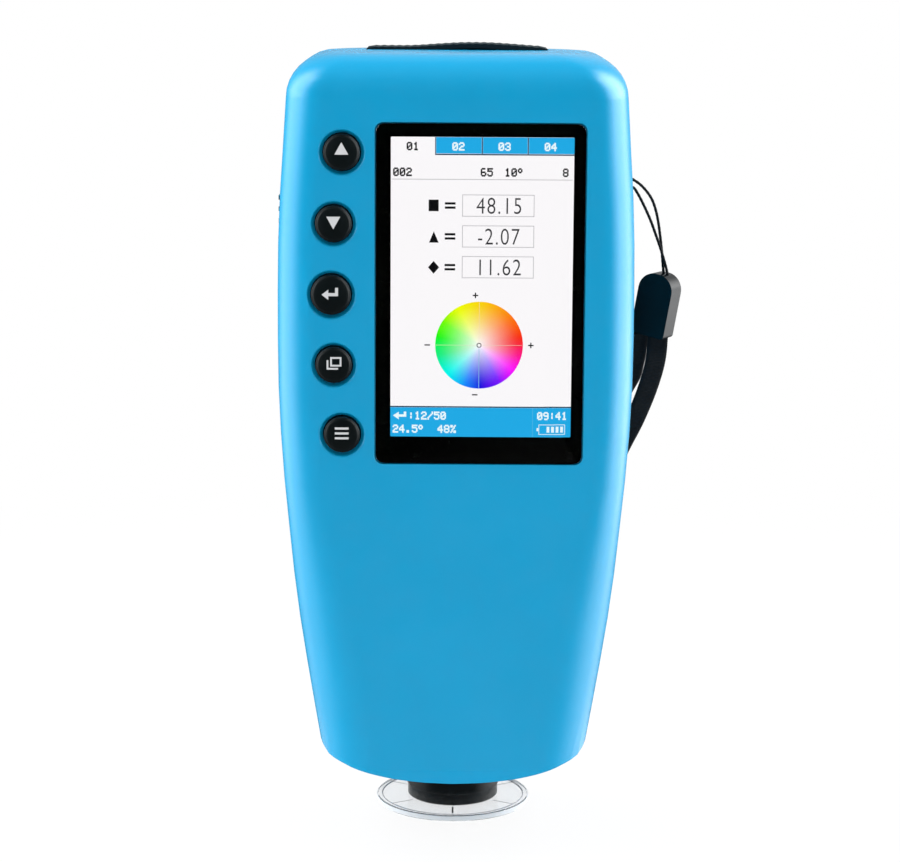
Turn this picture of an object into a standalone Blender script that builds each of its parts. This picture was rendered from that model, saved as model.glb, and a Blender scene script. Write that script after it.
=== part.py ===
"""Portable colorimeter: a hand-held tester with a screen, five keys and a measuring nozzle at its foot.

Metres, +Z up. The front with the screen faces -Y and the instrument stands on its locating disc at Z = 0.
"""
import bpy
import bmesh
from math import acos, asin, cos, pi, radians, sin, sqrt, tan
from mathutils import Matrix, Vector

MM = 0.001

# Overall size of the housing
BODY_TOP = 203.25 * MM
BODY_WIDTH = 91.3 * MM
BODY_FRONT = 35.0 * MM
BODY_BACK = 34.5 * MM
BODY_FOOT = 14.5 * MM
BODY_WALL = 2.4 * MM
PARTING_Y = -8.0 * MM
FIT_GAP = 0.3 * MM
EASY_GAP = 0.5 * MM
OVERRUN = 2.0 * MM

# Rounding of the housing
FRONT_EDGE_RADIUS = 10.0 * MM
LOW_FRONT_EDGE_RADIUS = 15.0 * MM
LOW_EDGE_SHARES = (0.24, 0.48)
BACK_EDGE_RADIUS = 14.0 * MM
TOP_CORNER_RADIUS = 11.0 * MM
TOP_FRONT_ROLL = 12.0 * MM
TOP_BACK_ROLL = 14.0 * MM
ROUND_PROFILE = 0.5
EDGE_STEPS = 9
ROLL_STEPS = 8
SIDE_STEPS = 14
INNER_EDGE_STEPS = 4
INNER_ROLL_STEPS = 3
INNER_SIDE_STEPS = 8

# Side outline seen from the front: share of the height, share of half the width
SIDE_OUTLINE_SHARES = (
    (0.059, 0.728), (0.115, 0.771), (0.182, 0.821), (0.249, 0.869), (0.314, 0.908), (0.379, 0.934),
    (0.444, 0.960), (0.509, 0.982), (0.572, 0.996), (0.636, 1.000), (0.732, 0.998), (0.796, 0.991),
    (0.858, 0.975), (0.919, 0.955), (1.000, 0.937))

# Arched foot: share of half the foot's width, share of the rise towards the sides
FOOT_HALF_WIDTH = 34.6 * MM
FOOT_RISE = 8.5 * MM
FOOT_ARCH_SHARES = (
    (0.00, 0.00), (0.21, 0.04), (0.34, 0.10), (0.46, 0.18), (0.55, 0.27), (0.67, 0.40), (0.76, 0.51),
    (0.85, 0.63), (0.93, 0.73), (0.98, 0.86), (1.01, 1.06), (1.04, 1.36), (1.30, 1.80))
FOOT_ARCH_STEPS = 18
CHIN_CREASE_Z = 18.7 * MM
CHIN_LEAN = radians(24)
HEEL_CREASE_Z = 20.0 * MM
HEEL_LEAN = radians(40)

# Front keys, on a shallow arc
KEY_NAMES = ("button_up", "button_down", "button_enter", "button_windows", "button_menu")
KEY_CAP_RADIUS = 4.6 * MM
ENTER_CAP_RADIUS = 5.05 * MM
KEY_PITCH_SHARE = 0.0881
KEY_PITCH = BODY_TOP * KEY_PITCH_SHARE
KEY_ARC_RADIUS = 237.0 * MM
KEY_ROW_INSET = 14.1 * MM
KEY_ROW_X = -BODY_WIDTH / 2 + KEY_ROW_INSET
KEY_CROWN = 1.15 * MM
KEY_EDGE_HEIGHT = 0.35 * MM
KEY_TRAVEL = 0.8 * MM
KEY_FLANGE = 0.7 * MM
KEY_FLANGE_THICK = 0.8 * MM
KEY_STEM_RADIUS = 2.0 * MM
KEY_STEPS = 20
DISH_MARGIN = 1.35 * MM
DISH_TAPER = 0.9 * MM
DISH_DEPTH = 1.4 * MM
DISH_SOFT_SHARES = (0.3, 0.12)

# Window, from the keys to the right edge, and the display behind it
WINDOW_KEY_GAP = 11.35 * MM
WINDOW_RIGHT_INSET = 13.45 * MM
WINDOW_LEFT = KEY_ROW_X + WINDOW_KEY_GAP
WINDOW_RIGHT = BODY_WIDTH / 2 - WINDOW_RIGHT_INSET
WINDOW_WIDTH = WINDOW_RIGHT - WINDOW_LEFT
WINDOW_X = (WINDOW_LEFT + WINDOW_RIGHT) / 2
WINDOW_HEIGHT_SHARE = 0.4236
WINDOW_HEIGHT = BODY_TOP * WINDOW_HEIGHT_SHARE
WINDOW_Z_SHARE = 0.7052
WINDOW_Z = BODY_TOP * WINDOW_Z_SHARE
WINDOW_THICK = 1.2 * MM
WINDOW_CORNER = 2.0 * MM
WINDOW_STAND = 0.15 * MM
LCD_MARGIN_LEFT = 3.7 * MM
LCD_MARGIN_RIGHT = 2.9 * MM
LCD_MARGIN_TOP = 3.3 * MM
LCD_MARGIN_BOTTOM = 6.8 * MM
LCD_WIDTH = WINDOW_WIDTH - LCD_MARGIN_LEFT - LCD_MARGIN_RIGHT
LCD_HEIGHT = WINDOW_HEIGHT - LCD_MARGIN_TOP - LCD_MARGIN_BOTTOM
LCD_X = WINDOW_X + (LCD_MARGIN_LEFT - LCD_MARGIN_RIGHT) / 2
LCD_Z = WINDOW_Z + (LCD_MARGIN_BOTTOM - LCD_MARGIN_TOP) / 2
LCD_BORDER = 1.6 * MM
LCD_FRAME_X = 2.4 * MM
LCD_FRAME_Z = 3.6 * MM
LCD_THICK = 5.0 * MM
LCD_LIFT = 1.6 * MM

# Main board and keypad mat
BOARD_THICK = 1.6 * MM
BOARD_SETBACK = 8.0 * MM
BOARD_LEFT_INSET = 4.8 * MM
BOARD_RIGHT_INSET = 6.7 * MM
BOARD_LEFT = -BODY_WIDTH / 2 + BOARD_LEFT_INSET
BOARD_RIGHT = BODY_WIDTH / 2 - BOARD_RIGHT_INSET
BOARD_END_SHARES = (0.489, 0.8993)
BOARD_BOTTOM, BOARD_TOP = (BODY_TOP * share for share in BOARD_END_SHARES)
BOARD_POST_INSET = 1.9 * MM
BOARD_POST_XS = (BOARD_LEFT + BOARD_POST_INSET, BOARD_RIGHT - BOARD_POST_INSET - FIT_GAP)
BOARD_POST_SHARES = (0.5744, 0.8393)
BOARD_POST_ZS = tuple(BODY_TOP * share for share in BOARD_POST_SHARES)
BOARD_POST_RADIUS = 2.3 * MM
MAT_WIDTH = 12.2 * MM
MAT_END = 5.6 * MM
MAT_THICK = 1.5 * MM
MAT_DOME_RADIUS = 3.0 * MM
MAT_DOME_HEIGHT = 0.7 * MM

# Fasteners
CASE_SCREW_DROP = 13.7 * MM
CASE_SCREW_TOP_INSET = 7.1 * MM
CASE_SCREW_LOW_SHARE = 0.3047
CASE_SCREW_LOW_INSET = 10.2 * MM
CASE_SCREW_HEAD = 2.8 * MM
CASE_SCREW_SHANK = 1.4 * MM
CASE_SCREW_SEAT_Y = 8.0 * MM
CASE_SCREW_TIP_Y = -18.0 * MM
CASE_BOSS_RADIUS = 3.6 * MM
CASE_WELL_WALL = 1.2 * MM
SMALL_SCREW_HEAD = 1.9 * MM
SMALL_SCREW_SHANK = 0.9 * MM
SMALL_SCREW_HEAD_HEIGHT = 1.2 * MM
SCREW_HEAD_HEIGHT = 2.0 * MM
SCREW_STEPS = 8
BOARD_SCREW_DEPTH = 3.6 * MM

# Nozzle, aperture ring and locating disc
NOZZLE_RADIUS = 12.5 * MM
NOZZLE_STEP_RADIUS = 12.25 * MM
NOZZLE_STEP_Z = 4.9 * MM
NOZZLE_FLANGE_RADIUS = 15.2 * MM
NOZZLE_FLANGE_THICK = 2.0 * MM
NOZZLE_LIP = 0.3 * MM
APERTURE_RADIUS = 4.0 * MM
APERTURE_RING_THICK = 1.0 * MM
NOZZLE_BORE_RADIUS = 5.5 * MM
DISC_RADIUS = 20.7 * MM
DISC_THICK = 1.3 * MM
DISC_RIM_WIDTH = 1.4 * MM
DISC_RIM_HEIGHT = 0.4 * MM
DISC_EDGE = 0.25 * MM
DISC_SPIGOT_RADIUS = 7.6 * MM
DISC_SPIGOT_HEIGHT = 3.0 * MM
DISC_BORE_RADIUS = 5.2 * MM
ROUND_STEPS = 40

# Measuring sphere
SPHERE_RADIUS_SHARE = 0.0983
SPHERE_RADIUS = BODY_TOP * SPHERE_RADIUS_SHARE
SPHERE_WALL = 2.5 * MM
SPHERE_FLANGE_WIDTH = 8.5 * MM
SPHERE_FLANGE_RADIUS = SPHERE_RADIUS + SPHERE_FLANGE_WIDTH
SPHERE_FLANGE_THICK = 2.0 * MM
SPHERE_SEAT_RADIUS = 9.5 * MM
SPHERE_PORT_RADIUS = 6.0 * MM
SPHERE_STEPS = 20
SPHERE_ARC_STEPS = 4
SPHERE_SCREW_INSET = 2.5 * MM
SPHERE_SCREW_CIRCLE = SPHERE_FLANGE_RADIUS - SPHERE_SCREW_INSET
LIGHT_BOARD_GAP = 0.8 * MM
LIGHT_BOARD_WIDTH = 3.2 * MM
LIGHT_SIZE = 2.4 * MM
LIGHT_COUNT = 6
LIGHT_CIRCLE = SPHERE_RADIUS + LIGHT_BOARD_GAP + LIGHT_BOARD_WIDTH / 2
SENSOR_LEAN = radians(8)
SENSOR_TUBE_RADIUS = 6.0 * MM
SENSOR_TUBE_BORE = 4.0 * MM
SENSOR_TUBE_LENGTH = 20.0 * MM
SENSOR_TUBE_REACH = SPHERE_RADIUS + SENSOR_TUBE_LENGTH
SENSOR_COLLAR_RADIUS = 8.5 * MM
SENSOR_COLLAR_THICK = 2.0 * MM
SENSOR_BOARD_SIZE = 22.0 * MM

# Bracket under the sphere's flange
BRACKET_THICK = 2.0 * MM
BRACKET_SIDE_GAP = 6.0 * MM
BRACKET_FRONT = -SPHERE_FLANGE_RADIUS + EASY_GAP
BRACKET_BACK_GAP = 5.1 * MM
BRACKET_TAB_HALF_WIDTH = 22.0 * MM
BRACKET_TAB_SHARE = 0.75
BRACKET_TAB_DROP = SPHERE_RADIUS * BRACKET_TAB_SHARE
BRACKET_SCREW_X = 14.0 * MM
BRACKET_SCREW_SHARE = 0.63
BRACKET_SCREW_DROP = BRACKET_TAB_DROP * BRACKET_SCREW_SHARE
BRACKET_BOSS_RADIUS = 3.5 * MM

# Battery bay and its cover
COVER_INSET = 21.9 * MM
COVER_HALF_WIDTH = BODY_WIDTH / 2 - COVER_INSET
COVER_EDGE = 4.0 * MM
BAY_HALF_WIDTH = COVER_HALF_WIDTH - COVER_EDGE
BAY_END_SHARES = (0.5332, 0.8821)
BAY_BOTTOM, BAY_TOP = (BODY_TOP * share for share in BAY_END_SHARES)
BAY_FLOOR_Y = 12.5 * MM
BAY_WALL = 1.5 * MM
BATTERY_THICK = 17.0 * MM
CONTACT_SPACE = 3.4 * MM
CONTACT_SIZE = 7.0 * MM
CONTACT_THICK = 0.5 * MM
CONTACT_BEND = 1.6 * MM
CONTACT_SHARE = 0.55
CONTACT_X = BAY_HALF_WIDTH * CONTACT_SHARE
COVER_BOTTOM_SHARE = 0.4865
COVER_BOTTOM = BODY_TOP * COVER_BOTTOM_SHARE
COVER_HOOK = 15.0 * MM
COVER_THICK = 1.1 * MM
COVER_CROWN_STAND = 1.65 * MM
# Share of half the cover's width, share of the crown's height
COVER_CROWN_SHARES = (
    (-1.0, 0.24), (-0.95, 0.42), (-0.5, 0.48), (-0.2, 0.77), (0.04, 0.97), (0.2, 1.0), (0.38, 0.97),
    (0.62, 0.77), (0.86, 0.52), (0.96, 0.40), (1.0, 0.20))
COVER_RECESS = 0.9 * MM
COVER_RIB_DEPTH = 0.13 * MM
COVER_RIB_PITCH = 2.0 * MM
COVER_UNDER_COLUMNS = 12
COVER_ROLL_STEPS = 7

# Test key on the back
TEST_KEY_Z_SHARE = 0.403
TEST_KEY_Z = BODY_TOP * TEST_KEY_Z_SHARE
TEST_KEY_WIDTH = 24.0 * MM
TEST_KEY_HEIGHT = 13.0 * MM
TEST_KEY_STAND = 1.2 * MM
TEST_KEY_END_SHARE = 0.49
TEST_KEY_TRAVEL = 1.0 * MM
TEST_KEY_FLANGE = 1.2 * MM
TEST_KEY_FLANGE_THICK = 1.2 * MM
TEST_SWITCH_SIZE = 6.0 * MM
TEST_SWITCH_THICK = 3.0 * MM
TEST_BOARD_HEIGHT = 10.0 * MM
TEST_POST_X = 16.6 * MM
TEST_POST_RADIUS = 2.4 * MM

# Power switch on the left side
SWITCH_Y = 1.0 * MM
SWITCH_Z_SHARE = 0.7813
SWITCH_Z = BODY_TOP * SWITCH_Z_SHARE
SWITCH_KNOB_LENGTH = 16.0 * MM
SWITCH_KNOB_WIDTH = 7.0 * MM
SWITCH_TRAVEL = 3.5 * MM
SWITCH_POCKET = 1.2 * MM
SWITCH_PROUD = 0.4 * MM
SWITCH_RIB = 1.0 * MM
SWITCH_RIB_COUNT = 5
SWITCH_RIB_PITCH = 3.0 * MM
SWITCH_RIB_WIDTH = 1.1 * MM
SWITCH_NECK = 3.0 * MM
SWITCH_BODY_LENGTH = 15.0 * MM
SWITCH_BODY_WIDTH = 8.0 * MM
SWITCH_BODY_THICK = 4.5 * MM
SWITCH_BOARD_LENGTH = 28.0 * MM
SWITCH_BOARD_WIDTH = 14.0 * MM
SWITCH_POST_RADIUS = 2.0 * MM
SWITCH_POST_Z = 12.0 * MM

# Data and charging socket low on the back
SOCKET_Z_SHARE = 0.3096
SOCKET_Z = BODY_TOP * SOCKET_Z_SHARE
SOCKET_WIDTH = 9.0 * MM
SOCKET_HEIGHT = 4.0 * MM
SOCKET_DEPTH = 8.0 * MM
SOCKET_WALL = 0.5 * MM
SOCKET_BOARD_WIDTH = 20.0 * MM
SOCKET_BOARD_DEPTH = 14.0 * MM
SOCKET_POST_WIDTH = 3.0 * MM

# Strap pocket and pin on the right side
POCKET_Y = 10.0 * MM
POCKET_Z_SHARE = 0.8275
POCKET_Z = BODY_TOP * POCKET_Z_SHARE
POCKET_SIZE = 6.4 * MM
POCKET_DEPTH = 5.0 * MM
POCKET_WALL = 1.6 * MM
PIN_RADIUS = 1.0 * MM
PIN_DEPTH = 2.2 * MM

# Wrist strap: a thin cord, a block and a webbing loop
CORD_DIAMETER = 0.8 * MM
# Millimetres right of, behind and above the pin
CORD_ROUTE_MM = (
    (13.3, 2.3, -24.1), (13, 2.1, -21.4), (12.67, 1.9, -18.2), (12.23, 1.6, -14.9), (11.58, 1.2, -10.8),
    (10.85, 0.9, -7.6), (9.8, 0.6, -4.7), (8.38, 0.4, -2.5), (6.51, 0.2, -0.5), (4.61, 0.1, 0.8),
    (3, 0, 1.5), (0, 0, 1.6), (-1.13, 0, 1.13), (-1.6, 0, 0), (-1.13, 0, -1.13), (0, 0, -1.6),
    (3, 0, -1.3), (4.63, 0, -1.3), (5.82, 0, -2.9), (7.04, 0.1, -5.1), (8.32, 0.1, -7.7),
    (9.62, 0.2, -10.6), (10.87, 0.3, -13.9), (12.06, 0.5, -17.1), (13.09, 0.9, -20.2), (13.89, 1.5, -22.8),
    (14.3, 1.9, -24.4))
BLOCK_FROM_PIN = (11.76 * MM, 3.0 * MM, -32.93 * MM)
BLOCK_WIDTH = 10.0 * MM
BLOCK_DEPTH = 6.0 * MM
BLOCK_HEIGHT = 17.2 * MM
BLOCK_LEAN = radians(10.5)
BLOCK_TURN = radians(30)
BLOCK_TOP_CORNER = 4.6 * MM
BLOCK_FOOT_CORNER = 1.0 * MM
BLOCK_RIM = 0.5 * MM
BLOCK_CORNER_STEPS = 6
WEBBING_WIDTH = 5.6 * MM
WEBBING_THICK = 0.9 * MM
# Millimetres right of and behind the pin, and share of the block foot's height
WEBBING_ROUTE_SHARES = (
    (12.11, 2.6, 0.9895), (11.99, 3.6, 0.9622), (11.64, 6.5, 0.9283), (10.74, 10, 0.8889),
    (9.46, 14, 0.8462), (7.3, 19, 0.7905), (2.83, 23, 0.7071), (-0.77, 27.5, 0.6078), (-4.47, 31, 0.4966),
    (-7.97, 34, 0.3814), (-11.17, 36.3, 0.2662), (-13.67, 38.3, 0.1549), (-15.07, 40.2, 0.0715),
    (-15.77, 42.8, 0.0262), (-16.27, 46.8, 0.0127), (-16.87, 50.7, 0.0302), (-17.37, 52.2, 0.0755),
    (-17.07, 51.2, 0.1549), (-15.77, 48.5, 0.2662), (-13.37, 45, 0.3853), (-10.17, 40.8, 0.5045),
    (-6.47, 36.6, 0.6157), (-2.77, 31.8, 0.715), (1.03, 26.2, 0.8024), (4.1, 21, 0.855),
    (5.8, 15.5, 0.892), (6.34, 11, 0.9245), (6.69, 7, 0.958), (6.81, 4.8, 0.988))
CORD_STEPS_PER_SPAN = 1
WEBBING_STEPS_PER_SPAN = 2

PARTS = None
CUTTERS = None


def smooth_value(shares, where):
    """Read a value from a table of shares along a smooth curve through its points."""
    last = len(shares) - 1
    spot = 0
    while spot < last - 1 and where > shares[spot + 1][0]:
        spot += 1
    here, there = shares[spot], shares[spot + 1]
    before, after = shares[max(spot - 1, 0)], shares[min(spot + 2, last)]
    span = there[0] - here[0]
    part = (where - here[0]) / span
    slope_in = (there[1] - before[1]) / (there[0] - before[0]) * span
    slope_out = (after[1] - here[1]) / (after[0] - here[0]) * span
    square, cube = part ** 2, part ** 3
    return (here[1] * (2 * cube - 3 * square + 1) + slope_in * (cube - 2 * square + part)
            + there[1] * (3 * square - 2 * cube) + slope_out * (cube - square))


def half_width_at(z):
    return smooth_value(SIDE_OUTLINE_SHARES, z / BODY_TOP) * BODY_WIDTH / 2


def low_share(z):
    """How far down the lower front edge has grown to its full radius, from 0 to 1."""
    foot, top = (share * BODY_TOP for share in LOW_EDGE_SHARES)
    part = min(max((top - z) / (top - foot), 0), 1)
    return part * part * (3 - 2 * part)


def front_radius_at(z):
    return FRONT_EDGE_RADIUS + (LOW_FRONT_EDGE_RADIUS - FRONT_EDGE_RADIUS) * low_share(z)


def front_reach_at(z):
    """Depth of the front face, which leans back under the chin's crease."""
    return BODY_FRONT - max(0, CHIN_CREASE_Z - z) * tan(CHIN_LEAN)


def back_reach_at(z):
    """Depth of the back face, which leans in under the heel's crease."""
    return BODY_BACK - max(0, HEEL_CREASE_Z - z) * tan(HEEL_LEAN)


def foot_height(x):
    """Height of the arched underside at a distance from the middle."""
    share = abs(x) / FOOT_HALF_WIDTH
    return BODY_FOOT + smooth_value(FOOT_ARCH_SHARES, share) * FOOT_RISE


# Depths shared by the pieces behind the front wall
INNER_FRONT_Y = -BODY_FRONT + BODY_WALL
INNER_BACK_Y = BODY_BACK - BODY_WALL
BOARD_Y = -BODY_FRONT + BOARD_SETBACK
WINDOW_SEAT_Y = -BODY_FRONT - WINDOW_STAND + WINDOW_THICK
CAP_FLANGE_Y = INNER_FRONT_Y + EASY_GAP
MAT_FRONT_Y = BOARD_Y - FIT_GAP - MAT_THICK

# Heights of the measuring head
DISC_TOP_Z = DISC_THICK
NOZZLE_FOOT_Z = DISC_TOP_Z + FIT_GAP
RING_Z = DISC_TOP_Z + DISC_SPIGOT_HEIGHT + FIT_GAP
NOZZLE_FLANGE_Z = foot_height(NOZZLE_FLANGE_RADIUS) + BODY_WALL + FIT_GAP
NOZZLE_TOP_Z = NOZZLE_FLANGE_Z + NOZZLE_FLANGE_THICK
SPHERE_Z = NOZZLE_TOP_Z + FIT_GAP + SPHERE_RADIUS + NOZZLE_LIP
LOWER_FLANGE_Z = SPHERE_Z - SPHERE_FLANGE_THICK
UPPER_FLANGE_Z = SPHERE_Z + FIT_GAP
LIGHT_BOARD_Z = UPPER_FLANGE_Z + SPHERE_FLANGE_THICK + FIT_GAP
BRACKET_Z = LOWER_FLANGE_Z - FIT_GAP
TEST_BOARD_Y = INNER_BACK_Y - TEST_KEY_FLANGE_THICK - TEST_KEY_TRAVEL - TEST_SWITCH_THICK - 3 * FIT_GAP

BRACKET_HALF_WIDTH = half_width_at(BRACKET_Z) - BODY_WALL - BRACKET_SIDE_GAP
BRACKET_BACK = INNER_BACK_Y - BRACKET_BACK_GAP

# Case screws: left and right, near the top and low down
CASE_SCREW_TOP_Z = BODY_TOP - CASE_SCREW_DROP
CASE_SCREW_LOW_Z = BODY_TOP * CASE_SCREW_LOW_SHARE
CASE_SCREW_TOP_X = half_width_at(CASE_SCREW_TOP_Z) - CASE_SCREW_TOP_INSET
CASE_SCREW_LOW_X = half_width_at(CASE_SCREW_LOW_Z) - CASE_SCREW_LOW_INSET
CASE_SCREW_SPOTS = ((-CASE_SCREW_TOP_X, CASE_SCREW_TOP_Z), (CASE_SCREW_TOP_X, CASE_SCREW_TOP_Z),
                    (-CASE_SCREW_LOW_X, CASE_SCREW_LOW_Z), (CASE_SCREW_LOW_X, CASE_SCREW_LOW_Z))

# Places of the switch, the socket and the strap
PIN_REACH = POCKET_WALL / 2
SWITCH_BODY_X = -half_width_at(SWITCH_Z + SWITCH_BOARD_LENGTH / 2) + BODY_WALL + FIT_GAP
SWITCH_BOARD_X = SWITCH_BODY_X + SWITCH_BODY_THICK + FIT_GAP
SOCKET_BOARD_Z = SOCKET_Z - SOCKET_HEIGHT / 2 - FIT_GAP - BOARD_THICK
SOCKET_RAIL_Z = SOCKET_BOARD_Z - FIT_GAP
PIN_X = half_width_at(POCKET_Z) - PIN_DEPTH
BLOCK_CENTRE = (PIN_X + BLOCK_FROM_PIN[0], POCKET_Y + BLOCK_FROM_PIN[1], POCKET_Z + BLOCK_FROM_PIN[2])
BLOCK_FOOT_Z = BLOCK_CENTRE[2] - BLOCK_HEIGHT / 2 * cos(BLOCK_LEAN)
SOCKET_BOARD_FRONT_Y = BODY_BACK - BODY_WALL - FIT_GAP - SOCKET_BOARD_DEPTH


def clear_scene():
    for obj in list(bpy.data.objects):
        bpy.data.objects.remove(obj, do_unlink=True)


def make_collection(name):
    collection = bpy.data.collections.new(name)
    bpy.context.scene.collection.children.link(collection)
    return collection


def make_material(name, colour, roughness, metallic=0.0):
    material = bpy.data.materials.new(name)
    material.use_nodes = True
    shader = material.node_tree.nodes["Principled BSDF"]
    shader.inputs["Base Color"].default_value = (*colour, 1.0)
    shader.inputs["Roughness"].default_value = roughness
    shader.inputs["Metallic"].default_value = metallic
    return material


def add_object(name, mesh, material=None):
    """Link a part, or a cutter when it has no material."""
    obj = bpy.data.objects.new(name, mesh)
    if material is None:
        CUTTERS.objects.link(obj)
        obj.hide_render = True
        obj.display_type = "WIRE"
    else:
        mesh.materials.clear()
        mesh.materials.append(material)
        PARTS.objects.link(obj)
    return obj


def mesh_from_bmesh(bm, name):
    bmesh.ops.recalc_face_normals(bm, faces=bm.faces)
    mesh = bpy.data.meshes.new(name)
    bm.to_mesh(mesh)
    bm.free()
    return mesh


def shade(mesh, angle=radians(35)):
    mesh.shade_smooth()
    mesh.set_sharp_from_angle(angle=angle)


def apply_modifiers(obj):
    """Bake an object's modifiers into its mesh."""
    graph = bpy.context.evaluated_depsgraph_get()
    mesh = bpy.data.meshes.new_from_object(obj.evaluated_get(graph))
    obj.modifiers.clear()
    obj.data = mesh
    return obj


def boolean(obj, other, operation):
    modifier = obj.modifiers.new(other.name, "BOOLEAN")
    modifier.operation = operation
    modifier.solver = "EXACT"
    modifier.object = other


def cut(obj, *others):
    for other in others:
        boolean(obj, other, "DIFFERENCE")


def join(obj, *others):
    for other in others:
        boolean(obj, other, "UNION")


def box(name, low, high, material=None, rounding=0, rounding_steps=2):
    """A box between two corners; its origin is at its centre."""
    low, high = Vector(low), Vector(high)
    bm = bmesh.new()
    bmesh.ops.create_cube(bm, size=1.0)
    bmesh.ops.scale(bm, vec=high - low, verts=bm.verts)
    if rounding:
        bmesh.ops.bevel(bm, geom=bm.edges, offset=rounding, segments=rounding_steps, profile=ROUND_PROFILE,
                        affect="EDGES")
    obj = add_object(name, mesh_from_bmesh(bm, name), material)
    obj.location = (low + high) / 2
    return obj


def rounded_panel(name, width, height, corner, front_y, back_y, centre_x, centre_z, material=None, steps=4):
    """A flat panel facing -Y with round corners."""
    bm = bmesh.new()
    rim = []
    for cx, cz, start in ((1, 1, 0), (-1, 1, 1), (-1, -1, 2), (1, -1, 3)):
        for step in range(steps + 1):
            angle = (start + step / steps) * pi / 2
            x = cx * (width / 2 - corner) + corner * cos(angle)
            z = cz * (height / 2 - corner) + corner * sin(angle)
            rim.append(bm.verts.new((x, front_y, z)))
    face = bm.faces.new(rim)
    extruded = bmesh.ops.extrude_face_region(bm, geom=[face])
    moved = [item for item in extruded["geom"] if isinstance(item, bmesh.types.BMVert)]
    bmesh.ops.translate(bm, vec=(0, back_y - front_y, 0), verts=moved)
    obj = add_object(name, mesh_from_bmesh(bm, name), material)
    obj.location = (centre_x, 0, centre_z)
    return obj


def turned(name, outline, material=None, steps=ROUND_STEPS):
    """A turned solid about its local Z; the outline runs down its outer side, and is closed off the axis."""
    mesh = bpy.data.meshes.new(name)
    on_axis = outline[0][0] == 0 and outline[-1][0] == 0
    edges = [(index, index + 1) for index in range(len(outline) - 1)]
    if not on_axis:
        edges.append((len(outline) - 1, 0))
    mesh.from_pydata([(radius, 0, height) for radius, height in outline], edges, [])
    obj = add_object(name, mesh, material)
    screw = obj.modifiers.new("turn", "SCREW")
    screw.axis = "Z"
    screw.angle = 2 * pi
    screw.steps = steps
    screw.render_steps = steps
    screw.use_merge_vertices = True
    screw.merge_threshold = 0.00001
    screw.use_smooth_shade = True
    return obj


def cylinder(name, radius, low, high, material=None, steps=ROUND_STEPS):
    """A plain cylinder along local Z from low to high."""
    bm = bmesh.new()
    bmesh.ops.create_cone(bm, cap_ends=True, segments=steps, radius1=radius, radius2=radius, depth=high - low)
    bmesh.ops.translate(bm, vec=(0, 0, (low + high) / 2), verts=bm.verts)
    return add_object(name, mesh_from_bmesh(bm, name), material)


def face_front(obj):
    """Turn local +Z to -Y."""
    obj.rotation_euler = (pi / 2, 0, 0)
    return obj


def face_back(obj):
    """Turn local +Z to +Y."""
    obj.rotation_euler = (-pi / 2, 0, 0)
    return obj


def joined_cutter(name, pieces):
    """Gather separate cutters into one, so that one Boolean makes all their cuts."""
    bpy.context.view_layer.update()
    graph = bpy.context.evaluated_depsgraph_get()
    bm = bmesh.new()
    for piece in pieces:
        mesh = bpy.data.meshes.new_from_object(piece.evaluated_get(graph))
        mesh.transform(piece.matrix_world)
        bm.from_mesh(mesh)
        bpy.data.meshes.remove(mesh)
    for piece in pieces:
        bpy.data.objects.remove(piece, do_unlink=True)
    mesh = bpy.data.meshes.new(name)
    bm.to_mesh(mesh)
    bm.free()
    return add_object(name, mesh)


def plan_points(half_width, front, back, front_radius, back_radius, edge_steps):
    """One horizontal section: a rectangle whose front and back corners have their own radii."""
    corners = ((1, 1, back, back_radius, 0), (-1, 1, back, back_radius, 1),
               (-1, -1, front, front_radius, 2), (1, -1, front, front_radius, 3))
    points = []
    for side, end, reach, radius, quarter in corners:
        for step in range(edge_steps + 1):
            angle = (quarter + step / edge_steps) * pi / 2
            points.append((side * (half_width - radius) + radius * cos(angle),
                           end * (reach - radius) + radius * sin(angle)))
    return points


def body_blank(name, inset, edge_steps, roll_steps, side_steps):
    """The housing's form, shrunk by an inset, before its foot is cut."""
    shoulder = BODY_TOP - TOP_CORNER_RADIUS
    lift = inset / 2
    low = HEEL_CREASE_Z + lift
    heights = [BODY_FOOT - OVERRUN, CHIN_CREASE_Z + lift]
    heights += [low + (shoulder - low) * step / side_steps for step in range(side_steps)]
    sections = [(z, half_width_at(z) - inset, front_reach_at(z - lift) - inset,
                 back_reach_at(z - lift) - inset, front_radius_at(z) - inset) for z in heights]
    for step in range(roll_steps + 1):
        angle = step / roll_steps * pi / 2
        drop = 1 - cos(angle)
        z = shoulder + (TOP_CORNER_RADIUS - inset) * sin(angle)
        sections.append((z, half_width_at(shoulder) - inset - (TOP_CORNER_RADIUS - inset) * drop,
                         BODY_FRONT - inset - (TOP_FRONT_ROLL - inset) * drop,
                         BODY_BACK - inset - (TOP_BACK_ROLL - inset) * drop, FRONT_EDGE_RADIUS - inset))
    bm = bmesh.new()
    rings = []
    for z, half_width, front, back, front_radius in sections:
        points = plan_points(half_width, front, back, front_radius, BACK_EDGE_RADIUS - inset, edge_steps)
        rings.append([bm.verts.new((x, y, z)) for x, y in points])
    for lower, upper in zip(rings, rings[1:]):
        for index in range(len(lower)):
            following = (index + 1) % len(lower)
            bm.faces.new((lower[index], lower[following], upper[following], upper[index]))
    bm.faces.new(rings[-1])
    bm.faces.new(list(reversed(rings[0])))
    mesh = mesh_from_bmesh(bm, name)
    shade(mesh)
    return add_object(name, mesh)


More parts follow.
